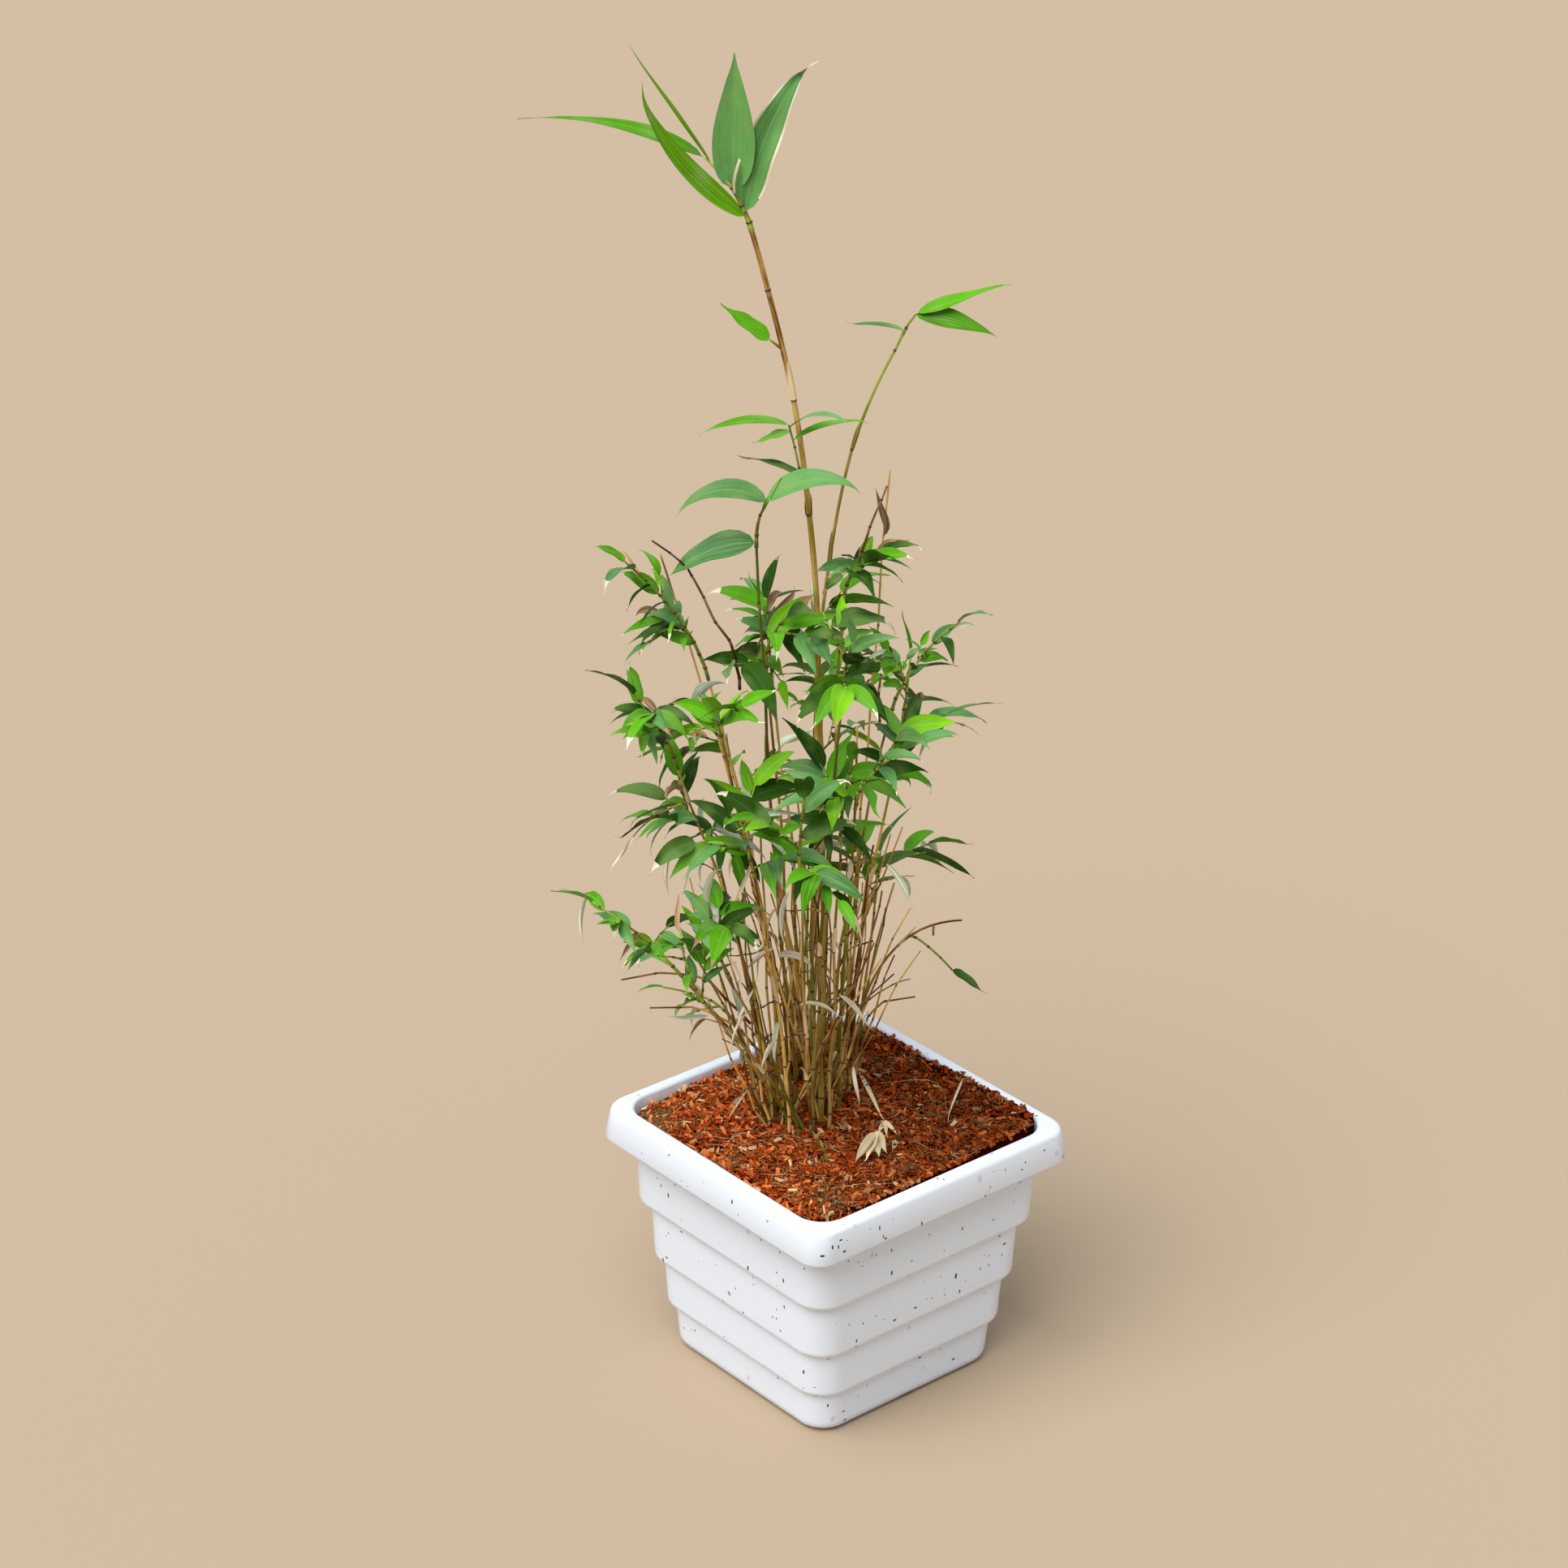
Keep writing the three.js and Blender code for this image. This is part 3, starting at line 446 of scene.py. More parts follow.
FIBRE_KINDS = rows(
    "name colour count length radius curl",
    ("fibres_red", (0.4464, 0.0828, 0.0144, 1), 4000, (5, 17), 0.17, 1.0),
    ("fibres_orange", (0.66, 0.17, 0.035, 1), 1700, (4, 13), 0.19, 1.2),
    ("fibres_dark", (0.072, 0.00864, 0.00144, 1), 700, (8, 24), 0.15, 0.9),
    ("fibres_long", (0.74, 0.44, 0.23, 1), 46, (28, 62), 0.31, 2.2),
    ("fibres_pale", (0.80, 0.46, 0.24, 1), 340, (12, 36), 0.17, 1.5),
)


def across_of(x, y):
    """How far a place lies across the clump."""
    return x * math.cos(CLUMP_TURN) + y * math.sin(CLUMP_TURN)


def soil_height(x, y):
    """The coir's surface: level round the canes, rising or falling towards the rim."""
    across = across_of(x, y)
    deep = y * math.cos(CLUMP_TURN) - x * math.sin(CLUMP_TURN)
    patch = np.hypot(
        (across - LEVEL_PATCH["across"]) / LEVEL_PATCH["half_across"],
        (deep - LEVEL_PATCH["deep"]) / LEVEL_PATCH["half_deep"],
    )
    beyond = np.clip(patch - 1, 0, None) * 45
    to_edge = np.clip(SOIL_EDGE - np.maximum(abs(x), abs(y)), 0, None)
    share = beyond / (beyond + to_edge + 1e-6)
    lumps = 0.55 * np.sin(x / 9.1 + y / 14.3) + 0.5 * np.sin(y / 7.7 - x / 17.9)
    lumps = lumps + 0.35 * np.sin(x / 4.3) * np.sin(y / 5.1)
    rim_rise = SOIL_RIM_LEVEL + SOIL_TILT * across - SOIL_LEVEL
    return SOIL_LEVEL + rim_rise * share ** 1.4 + lumps * (0.5 + 0.9 * share)


def on_soil(spots, lift=0.0):
    """Level spots raised to the coir's surface, or a little over it."""
    return np.column_stack([spots[:, :2], soil_height(spots[:, 0], spots[:, 1]) + lift])


def inside_rim(x, y, margin):
    """Whether a point lies inside the pot's rounded square, at least a margin from its edge."""
    half = SOIL_EDGE - margin
    dx = np.clip(abs(x) - (half - RIM_CORNER), 0, None)
    dy = np.clip(abs(y) - (half - RIM_CORNER), 0, None)
    return np.hypot(dx, dy) <= RIM_CORNER


def scatter_spots(draw, count, margin=1.0):
    """Seeded places on the coir, all inside the rim, a few of them drawn to its edge."""
    spots = draw.uniform(-SOIL_EDGE, SOIL_EDGE, (count * 2, 2))
    some = spots[:count // 4]
    edge_bound = some * ((SOIL_EDGE - 1.2) / abs(some).max(axis=1))[:, None]
    spots = np.vstack([edge_bound[::2], spots])
    return on_soil(spots[inside_rim(spots[:, 0], spots[:, 1], margin)][:count])


def tint(colour, factor, lift=0.0, most=1.0):
    """A colour made lighter or darker."""
    return tuple(min(c * factor + lift, most) for c in colour[:3]) + (1,)


def earthy_finish(name, colour):
    """A matt plain colour that each bit holds a little lighter or darker, with a rough grain."""
    finish, tree, shader = new_finish(name, colour, 0.92)
    grainy = noise_at(tree, own_place(tree), 900.0)
    dark, light = tint(colour, 1 - SHADE_SPREAD), tint(colour, 1 + SHADE_SPREAD, most=0.95)
    by_bit = mix_colours(tree, mark_on(tree, "shade"), dark, light)
    by_grain = mix_colours(tree, grainy, by_bit, (0.55, 0.5, 0.45, 1), "MULTIPLY")
    finish_off(tree, shader, by_grain, grainy, 0.5, 0.0006)
    shader.inputs["Specular IOR Level"].default_value = 0.0
    return finish


def random_turns(draw, count, lie):
    """Rotation matrices for bits that lie within some radians of flat, headed anyhow."""
    heading = draw.uniform(0, 2 * np.pi, count)
    tilt = draw.normal(0, lie, count)
    roll = draw.normal(0, lie * 1.6, count)
    ch, sh, ct, st, cr, sr = (f(a) for a in (heading, tilt, roll) for f in (np.cos, np.sin))
    forward = np.stack([ch * ct, sh * ct, st], 1)
    side = np.stack([-sh, ch, np.zeros(count)], 1)
    up = np.cross(forward, side)
    side_rolled = side * cr[:, None] + up * sr[:, None]
    return np.stack([forward, side_rolled, np.cross(forward, side_rolled)], 2)


def dried_shade(draw, spots):
    """How light each bit is: by luck, and lighter towards the left across the clump."""
    return np.clip(draw.random(len(spots)) + 0.04 - across_of(spots[:, 0], spots[:, 1]) * LEFT_LIGHTENING, 0, 1)


def chip_parts(draw, spots, size, lie=0.5, thick=(0.12, 0.36), raised=0.0, broad=(0.14, 0.5)):
    """Irregular six-sided chips, longer than wide, lying on the coir."""
    count = len(spots)
    box = np.array([(x, y, z) for x in (-1, 1) for y in (-1, 1) for z in (-1, 1)], float)
    length = size[0] + (size[1] - size[0]) * draw.random(count) ** 2.6
    scale = np.stack([length, length * draw.uniform(*broad, count), length * draw.uniform(*thick, count)], 1)
    corners = box[None] * (0.5 * scale[:, None]) * draw.uniform(0.45, 1.0, (count, 8, 3))
    turned = np.einsum("nij,nkj->nki", random_turns(draw, count, lie), corners)
    lift = (length * 0.12 + raised + draw.uniform(-0.5, 0.8, count))[:, None]
    points = turned + spots[:, None] + np.concatenate([np.zeros((count, 2)), lift], 1)[:, None]
    sides = np.array([(0, 1, 3, 2), (4, 6, 7, 5), (0, 4, 5, 1), (2, 3, 7, 6), (0, 2, 6, 4), (1, 5, 7, 3)])
    faces = (sides[None] + 8 * np.arange(count)[:, None, None]).reshape(-1, 4)
    return {"points": points.reshape(-1, 3), "faces": faces, "shade": np.repeat(dried_shade(draw, spots), 8)}


def strand_parts(draw, spots, length, radius, curl=1.0, lift=0.6):
    """Thin curved strands, three-sided, that lie on the coir and bend as they go."""
    count, joints = len(spots), STRAND_JOINTS
    reach = draw.uniform(*length, count)
    heading = draw.uniform(0, 2 * np.pi, count)
    bend = draw.normal(0, curl, count)
    share = np.linspace(-0.5, 0.5, joints)
    angle = heading[:, None] + bend[:, None] * share * 2 + 0.35 * np.sin(7 * share + heading[:, None] * 5)
    step = (reach / (joints - 1))[:, None]
    x = spots[:, :1] + np.cumsum(np.cos(angle) * step, 1) - np.cos(heading)[:, None] * reach[:, None] / 2
    y = spots[:, 1:2] + np.cumsum(np.sin(angle) * step, 1) - np.sin(heading)[:, None] * reach[:, None] / 2
    x, y = np.clip(x, -SOIL_EDGE + 2, SOIL_EDGE - 2), np.clip(y, -SOIL_EDGE + 2, SOIL_EDGE - 2)
    arch = draw.uniform(0.2, 2.4, count)[:, None] * np.cos(share * np.pi) * lift
    line = np.stack([x, y, soil_height(x, y) + 1.0 + arch], 2)
    around = [(math.cos(k * THIRD_TURN), math.sin(k * THIRD_TURN)) for k in range(3)]
    side = np.stack([-np.sin(angle), np.cos(angle), np.zeros_like(angle)], 2)
    upright = np.zeros_like(side)
    upright[..., 2] = 1
    thin = radius * (1 - 0.6 * abs(share) * 2)[None, :, None]
    rings = np.stack([line + (side * c + upright * s) * thin for c, s in around], 2)
    _, faces = skin([np.zeros((3, 3))] * joints, close=False)
    faces = (np.array(faces)[None] + 3 * joints * np.arange(count)[:, None, None]).reshape(-1, 4)
    shade = np.repeat(dried_shade(draw, spots), 3 * joints)
    return {"points": rings.reshape(-1, 3), "faces": faces, "shade": shade}


def build_bed(draw):
    """A dark, lumpy bed under the loose bits, which closes the pot."""
    rings = []
    edge = rounded_square(SOIL_EDGE, RIM_CORNER - 1, 0)
    for share in np.linspace(1, 0.02, 26):
        ring = edge * share
        ring[:, 2] = soil_height(ring[:, 0], ring[:, 1]) - 0.9 + draw.uniform(-0.5, 0.5, len(ring))
        rings.append(ring)
    sunk = edge.copy()
    sunk[:, 2] = BED_FOOT
    points, faces = skin([sunk] + rings)
    bed = {"points": points, "faces": faces, "shade": draw.random(len(points))}
    make_piece("coir_bed", [bed], earthy_finish("coir_shadow", COIR_SHADOW), ["coir_fill"])


def heap_spots(draw):
    """Places in the low heap of chips at the rim's inner edge, on the right."""
    count, spread = HEAP["count"], HEAP["spread"]
    offsets = [draw.normal(0, spread[0], count), draw.normal(0, spread[1], count), np.zeros(count)]
    heaped = clump_to_pot([HEAP["across"], HEAP["deep"], 0]) + np.column_stack(offsets)
    heaped[:, 2] = POT_HEIGHT + draw.random(count) * HEAP["lift"] - 0.6
    return heaped[heaped[:, 1] < RIM_INSIDE + HEAP["past_rim"]]


def grit_parts(draw):
    """Rounder, paler grit in patches, and a few pebbles."""
    parts = []
    for patch in GRIT_PATCHES:
        middle = clump_to_pot([patch["across"], patch["deep"], 0])
        spots = middle[None, :2] + draw.normal(0, patch["spread"] * 0.55, (patch["count"], 2))
        spots = on_soil(spots[inside_rim(spots[:, 0], spots[:, 1], 1.0)], 1.0)
        parts.append(chip_parts(draw, spots, (1.0, 3.4), lie=1.0, thick=(0.55, 0.9), broad=(0.5, 0.9)))
    for pebble in PEBBLES:
        spot = on_soil(clump_to_pot([[pebble["across"], pebble["deep"], 0]]), 1.6)
        size = (pebble["size"], pebble["size"])
        parts.append(chip_parts(draw, spot, size, lie=0.3, thick=(0.6, 0.8), broad=(0.7, 0.9)))
    return parts


def build_coir():
    draw = np.random.default_rng(COIR_SEED)
    build_bed(draw)
    for kind in CHIP_KINDS:
        parts = [chip_parts(draw, scatter_spots(draw, kind["count"]), kind["size"], raised=kind["lift"])]
        heaped = heap_spots(draw)
        if kind["name"] != "chips_dark":
            parts.append(chip_parts(draw, heaped, HEAP["size"]))
        make_piece(kind["name"], parts, earthy_finish(kind["name"], kind["colour"]), smooth=False)
    make_piece("grit", grit_parts(draw), earthy_finish("olive_grit", GRIT_COLOUR), smooth=False)
    for kind in FIBRE_KINDS:
        spots = scatter_spots(draw, kind["count"], 5.0)
        part = strand_parts(draw, spots, kind["length"], kind["radius"], kind["curl"])
        make_piece(kind["name"], [part], earthy_finish(kind["name"], kind["colour"]))


build_coir()

# ---------------------------------------------------------------- canes
# The clump's living canes, woody grass stems two to four millimetres thick at the foot. Each is a
# row of hollow joints with a swollen ring and a pale bloom at each node, a little out of line at
# every one, olive green where young and tan to brown where old. They rise from the coir.
CROWN_MIDDLE = (-18, 20)
CLEARANCE = 0.35
BLADE_ROOM = 0.55
CANE_STEPS = 6
TALL_CANE = 600
GOLDEN_TURN = 2.4
CANE_SIDES = 9
CANE_SEED = 77
SETTLE = {"tries": 90, "step": 1.1}
NEVER = 10 ** 6
SLIM = {"canes": 0.66, "tall": 0.88}
CANES = rows(
    "name foot tip bow radius age",
    ("tall", (-9, 3), (-53, 12, 713), 4, (2.3, 1.7), (0.3, 0.8)),
    ("right_tall", (-14, 36), (32, 48, 641), 6, (1.7, 0.9), (0.95, 0.1)),
    ("left_tall", (-26, 13), (-49, -12, 537), 1, (1.8, 1.2), (0.6, 0.3)),
    ("top_right", (-8, 23), (1, 15, 498), 2, (1.7, 1.1), (0.2, 0.5)),
    ("high_left", (-33, 32), (-76, -10, 455), 1.6, (1.7, 1.1), (0.7, 0.6)),
    ("high_right", (-4, 8), (27, -20, 436), 1.8, (1.7, 1.1), (0.4, 0.9)),
    ("shoulder_left", (-36, 23), (-93, -25, 406), 1.3, (1.7, 1.1), (0.8, 0.7)),
    ("front_high", (-31, 7), (-67, -45, 431), 1.5, (1.6, 1), (0.5, 0.8)),
    ("shoulder_right", (-2, 17), (8, -45, 391), 1.4, (1.8, 1.2), (0.3, 0.4)),
    ("middle_left", (-41, 39), (-73, 15, 338), 1.3, (1.6, 1.1), (0.6, 0.9)),
    ("low_right", (15, 65), (23, 75, 270), 1.2, (1.5, 1.1), (0.3, 0.7)),
    ("low_left", (-19, -6), (-92, -24, 272), 1.1, (1.7, 1.2), (0.2, 0.9)),
    ("front_left", (-28, -2), (-76, -55, 268), 1.2, (1.5, 1), (0.3, 0.8)),
    ("top_left", (-24, 22), (-43, 0, 454), 1.5, (1.7, 1.1), (0.6, 0.5)),
    ("top_front", (-14, -6), (-1, -40, 447), 1.4, (1.9, 1.2), (0.5, 0.2)),
    ("top_back", (-14, 30), (-15, 20, 460), 1.5, (1.7, 1.1), (0.2, 0.5)),
    ("front_mid_left", (-26, -8), (-49, -45, 347), 1.4, (1.7, 1.1), (0.7, 0.8)),
    ("front_mid", (-15, -14), (-23, -70, 360), 1.3, (1.7, 1.1), (0.9, 0.4)),
    ("middle", (-4, -4), (0, -20, 356), 1.4, (1.7, 1.1), (0.8, 0.3)),
    ("creeping_left", (-32, 14), (-60, -5, 229), 0.9, (1.4, 1), (0.7, 0.9)),
    ("front_low", (-22, -16), (-62, -66, 292), 1.3, (1.6, 1), (0.1, 0.7)),
    ("back_left", (-30, 48), (-58, 88, 330), 1.4, (1.7, 1.1), (0.4, 0.6)),
    ("back", (-12, 50), (-12, 98, 350), 1.4, (1.7, 1.1), (0.3, 0.8)),
    ("back_right", (6, 50), (36, 88, 372), 1.4, (1.7, 1.1), (0.3, 0.5)),
    ("back_high", (-18, 44), (-40, 60, 425), 1.5, (1.7, 1.1), (0.5, 0.6)),
)
CANES += rows(
    "name foot elbow tip radius age",
    ("hooked_right", (13, 57), (12, 60, 262), (75, 55, 268), (1.5, 0.9), (0.7, 1)),
)
CANE_OLIVE = (0.29, 0.205, 0.020, 1)
CANE_AGES = [
    (0.03, (0.32, 0.40, 0.05, 1)), (0.2, (0.15, 0.18, 0.010, 1)), (0.42, CANE_OLIVE),
    (0.68, (0.68, 0.42, 0.12, 1)), (0.95, (0.12, 0.036, 0.003, 1)),
]
CANE_SCAR = (0.06, 0.025, 0.008, 1)
CANE_BLOOM = (0.42, 0.35, 0.20, 1)


def unit(vector):
    return vector / np.linalg.norm(vector)


def lerp(start, end, share):
    return start + (end - start) * share


def segment_gaps(start, end, starts, ends):
    """The shortest distances from one segment to each of many."""
    first, second, apart = end - start, ends - starts, start - starts
    first_square = first @ first
    second_square = np.einsum("ij,ij->i", second, second)
    cross = second @ first
    first_apart = apart @ first
    second_apart = np.einsum("ij,ij->i", second, apart)
    spread = first_square * second_square - cross * cross
    safe = np.where(spread > 1e-9, spread, 1)
    s = np.where(spread > 1e-9, np.clip((cross * second_apart - first_apart * second_square) / safe, 0, 1), 0)
    t = np.clip((cross * s + second_apart) / second_square, 0, 1)
    s = np.clip((cross * t - first_apart) / first_square, 0, 1)
    nearest = start + first * s[:, None] - starts - second * t[:, None]
    return np.sqrt(np.einsum("ij,ij->i", nearest, nearest))


class Thicket:
    """Every limb, twig and blade placed so far, as rods, so that later ones keep clear. A blade's
    outer rods keep clear of their own spray's blades too."""

    def __init__(self, room=12000):
        self.count = 0
        self.start = np.zeros((room, 3))
        self.end = np.zeros((room, 3))
        self.radius = np.zeros(room)
        self.owner = np.zeros(room, int)
        self.outer = np.zeros(room, bool)
        self.owners = {}

    def number(self, owner):
        return self.owners.setdefault(owner, len(self.owners))

    def is_clear(self, points, radii, owner, outer_from=NEVER, close=1.0):
        """Whether a limb clears every rod, its own plant part's closely and all others by a gap."""
        n = self.count
        own = self.owner[:n] == self.number(owner)
        for i in range(len(points) - 1):
            touching = max(radii[i], radii[i + 1]) + self.radius[:n]
            room = np.where(own, touching * BLADE_ROOM, touching + CLEARANCE) * close
            skip = own & ~(self.outer[:n] & (i >= outer_from))
            gaps = segment_gaps(points[i], points[i + 1], self.start[:n], self.end[:n])
            if np.any((gaps <= room) & ~skip):
                return False
        return True

    def add(self, points, radii, owner, outer_from=NEVER):
        for i in range(len(points) - 1):
            k = self.count
            self.start[k], self.end[k] = points[i], points[i + 1]
            self.radius[k] = max(radii[i], radii[i + 1])
            self.owner[k] = self.number(owner)
            self.outer[k] = i >= outer_from
            self.count += 1


thicket = Thicket()


def straight_shares(cane):
    """Even shares along a cane, more of them on a tall one."""
    steps = CANE_STEPS + 4 if cane["tip"][2] > TALL_CANE else CANE_STEPS
    return np.arange(steps + 1) / steps


def cane_line(cane, foot, shares):
    """A cane's middle line: most lean more and more, one bends over at its elbow."""
    shares = np.asarray(shares, float)[:, None]
    start = np.array([foot[0], foot[1], SOIL_LEVEL + GAP])
    end = np.array(cane["tip"], float)
    if "elbow" in cane:
        bend = np.array(cane["elbow"], float)
        return lerp(lerp(start, bend, shares), lerp(bend, end, shares), shares)
    line = lerp(start, end, shares ** cane["bow"])
    line[:, 2] = lerp(start[2], end[2], shares[:, 0])
    return line


def settle(name, foot, radii, make_line):
    """Steps the foot out in a widening spiral until the limb clears those before it."""
    for turn in range(SETTLE["tries"]):
        step, angle = SETTLE["step"] * math.sqrt(turn), turn * GOLDEN_TURN
        moved = (foot[0] + step * math.cos(angle), foot[1] + step * math.sin(angle))
        line = make_line(moved)
        if thicket.is_clear(line, radii, name):
            thicket.add(line, radii, name)
            return moved, line
    raise ValueError("no room for " + name)


def run_along(line):
    """How far along a line each of its points lies."""
    return np.concatenate([[0], np.cumsum(np.linalg.norm(np.diff(line, axis=0), axis=1))])


def points_at(places, stations, line):
    """The points of a line at some places along it."""
    return np.column_stack([np.interp(places, stations, line[:, k]) for k in range(3)])


def tube(line, radii, sides):
    """Points, faces and length map of a round tube along a line, with closed ends."""
    line = np.asarray(line, float)
    forward = np.gradient(line, axis=0)
    forward /= np.linalg.norm(forward, axis=1)[:, None]
    chord = unit(line[-1] - line[0])
    reference = np.array([0, 1, 0.0]) if abs(chord[1]) < 0.7 else np.array([1.0, 0, 0])
    left = np.cross(reference, forward)
    left /= np.linalg.norm(left, axis=1)[:, None]
    up = np.cross(forward, left)
    angles = np.arange(sides) / sides * 2 * np.pi
    radii = np.broadcast_to(radii, (len(line),))[:, None, None]
    ring = left[:, None] * np.cos(angles)[None, :, None] + up[:, None] * np.sin(angles)[None, :, None]
    points, faces = skin(list(line[:, None] + ring * radii))
    around = np.tile(abs(angles / np.pi - 1), len(line))
    uv = np.column_stack([around, np.repeat(run_along(line), sides)])
    return {"points": points, "faces": faces, "uv": uv}


def node_places(length, draw, first, last):
    """Where the rings of a cane lie along it: close together at the foot, wider apart above."""
    places, place = [], first * draw.uniform(0.5, 1.0)
    while place < length - 4:
        places.append(place)
        place += (first + (last - first) * min(place / length * 1.6, 1)) * draw.uniform(0.8, 1.2)
    return np.array(places)


def limb_stations(rings, length):
    """Places along a limb, even ones and a few close together at each ring."""
    about_rings = [rings + shift for shift in (-2.2, -0.9, -0.35, 0.0, 0.35, 1.1, 2.4)]
    stations = np.concatenate([np.arange(0, length, 7.0), [length], *about_rings])
    stations = np.unique(np.clip(stations, 0, length).round(2))
    return stations[np.concatenate([[True], np.diff(stations) > 0.12])]


def bend_at_rings(fine, stations, length, rings, draw, zigzag):
    """Turns the limb a little out of line at each ring, and lets it sway."""
    kinks = np.concatenate([[0], rings, [length]])
    turns = np.zeros((len(kinks), 2))
    signs = np.where(np.arange(len(rings)) % 2 == 0, 1, -1)
    turns[1:-1, 0] = signs * draw.uniform(0.2, 1, len(rings)) * zigzag
    turns[1:-1, 1] = draw.normal(0, 0.5, len(rings)) * zigzag
    fine[:, 0] += np.interp(stations, kinks, turns[:, 0])
    fine[:, 1] += np.interp(stations, kinks, turns[:, 1])
    sway = np.sin(np.pi * stations / length) ** 2 * zigzag
    for axis in (0, 1):
        fine[:, axis] += sway * np.sin(stations / draw.uniform(28, 60) + draw.uniform(0, 6.28))


def jointed_limb(line, radii, draw, sides, age, first=26, last=62, swell=0.2, zigzag=1.1, spots=None):
    """A limb with swollen rings, a slight turn at each, and its age and ring marks for the finish.
    The place, direction and radius at each ring are added to spots, for what grows there."""
    run = run_along(line)
    length = run[-1]
    rings = node_places(length, draw, first, last)
    stations = limb_stations(rings, length)
    fine = points_at(stations, run, line)
    thick = np.interp(stations, run, radii)
    bend_at_rings(fine, stations, length, rings, draw, zigzag)
    ring_mark = np.zeros(len(stations))
    bloom_mark = np.zeros(len(stations))
    for ring in rings:
        away = stations - ring
        thick = thick * (1 + swell * np.exp(-(away / 0.6) ** 2) - 0.05 * np.exp(-((away - 1.6) / 1.0) ** 2))
        ring_mark = np.maximum(ring_mark, np.exp(-(away / 0.7) ** 2))
        bloom_mark = np.maximum(bloom_mark, np.where(away < 0, np.exp(-((away + 1.4) / 1.6) ** 2), 0) * 0.35)
        if spots is not None:
            at = min(int(np.searchsorted(stations, ring)), len(stations) - 2)
            spots.append((fine[at], unit(fine[at + 1] - fine[at - 1]), float(np.interp(ring, run, radii))))
    part = tube(fine, thick, sides)
    share = stations / length
    wander = 0.14 * np.sin(share * draw.uniform(4, 9) + draw.uniform(0, 6))
    part["age"] = np.repeat(np.clip(lerp(age[0], age[1], share) + wander, 0, 1), sides)
    part["ring"] = np.repeat(ring_mark, sides)
    part["bloom_and_sheen"] = np.repeat(bloom_mark, sides)
    part["shade"] = np.full(len(part["points"]), draw.random())
    part["points"] = clump_to_pot(part["points"])
    return part


def cane_finish(name):
    """Woody green that turns olive, tan and brown with age, with fine streaks along the joints."""
    finish, tree, shader = new_finish(name, CANE_OLIVE, 0.5)
    shade = mark_on(tree, "shade")
    lengthwise = add_node(tree, "ShaderNodeUVMap", {"uv_map": "length_map"}).outputs["UV"]
    stretched = move_place(tree, "MULTIPLY", lengthwise, (9, 0.05, 1))
    by_cane = add_node(tree, "ShaderNodeCombineXYZ", Z=reckon(tree, "MULTIPLY", shade, 70.0)).outputs[0]
    streaks = noise_at(tree, move_place(tree, "ADD", stretched, by_cane), 1.0, 3.0, Roughness=0.6)
    patches = noise_at(tree, own_place(tree), 45.0)
    uneven = reckon(tree, "MULTIPLY_ADD", reckon(tree, "ADD", streaks, patches), 0.75, -0.75)
    ripe = reckon(tree, "ADD", mark_on(tree, "age"), uneven, clamp=True)
    ramp = add_node(tree, "ShaderNodeValToRGB", Fac=ripe)
    stops = ramp.color_ramp.elements
    stops[0].position, stops[0].color = CANE_AGES[0]
    stops[1].position, stops[1].color = CANE_AGES[-1]
    for position, colour in CANE_AGES[1:-1]:
        stops.new(position).color = colour
    value = reckon(tree, "MULTIPLY_ADD", shade, 0.95, 0.5)
    colour = add_node(tree, "ShaderNodeHueSaturation", Color=ramp.outputs[0], Value=value).outputs[0]
    colour = mix_colours(tree, mark_on(tree, "bloom_and_sheen"), colour, CANE_BLOOM)
    colour = mix_colours(tree, mark_on(tree, "ring"), colour, CANE_SCAR)
    finish_off(tree, shader, colour, streaks, 0.35, 0.0004)
    shader.inputs["Specular IOR Level"].default_value = 0.07
    return finish


def sink_foot(line, depth=6):
    """The line carried down into the coir, so that no foot stands on top of it."""
    below = line[0].copy()
    below[2] -= depth
    return np.vstack([below, line])


def build_canes():
    draw = np.random.default_rng(CANE_SEED)
    for cane in CANES:
        name, thick = cane["name"], cane["radius"]
        shares = straight_shares(cane)
        radii = lerp(*thick, shares)
        foot, line = settle(name, cane["foot"], radii, lambda moved: cane_line(cane, moved, shares))
        cane_lines[name] = line
        fine_shares = np.linspace(0, 1, 60)
        fine = sink_foot(cane_line(cane, foot, fine_shares))
        slim = SLIM["tall" if cane["tip"][2] > TALL_CANE else "canes"]
        fine_radii = np.concatenate([thick[:1], lerp(*thick, fine_shares)]) * slim
        cane_nodes[name] = []
        limb = jointed_limb(fine, fine_radii, draw, CANE_SIDES, cane["age"], spots=cane_nodes[name])
        make_piece("cane_" + name + "_bark", [limb], cane_bark, ["cane_" + name])


cane_lines = {}
cane_nodes = {}
cane_bark = cane_finish("cane_bark")
build_canes()

# ---------------------------------------------------------------- tufts of bare canes
# Old, thin canes that have lost their leaves. Those of one tuft come out of the same cut stub,
# grey-tan and brittle, with the same rings as the living ones.
TUFT_STUB = {"radius": 4.2, "height": 7, "spread": 2.6}
BARE_CANE = {"bow": 1.25, "steps": 5, "radius": (1.2, 0.75), "slim": 0.76}
BARE_TURNS = (0, 12, -12, 24, -24, 36, -36, 50, -50)
BARE_LIMB = {"first": 18, "last": 42, "swell": 0.22, "zigzag": 0.8}
SLENDER = {
    "count": 13, "out": (2, 11), "reach": (6, 62), "height": (195, 350),
    "radius": (0.6, 1.05), "tip": 0.45,
}
SLENDER_LIMB = {"first": 14, "last": 36, "swell": 0.25, "zigzag": 1.6}
CUT_STUBS = {"count": 7, "spread": 1.7, "height": (9, 22), "radius": (0.9, 1.5)}
TUFT_SEED = 78
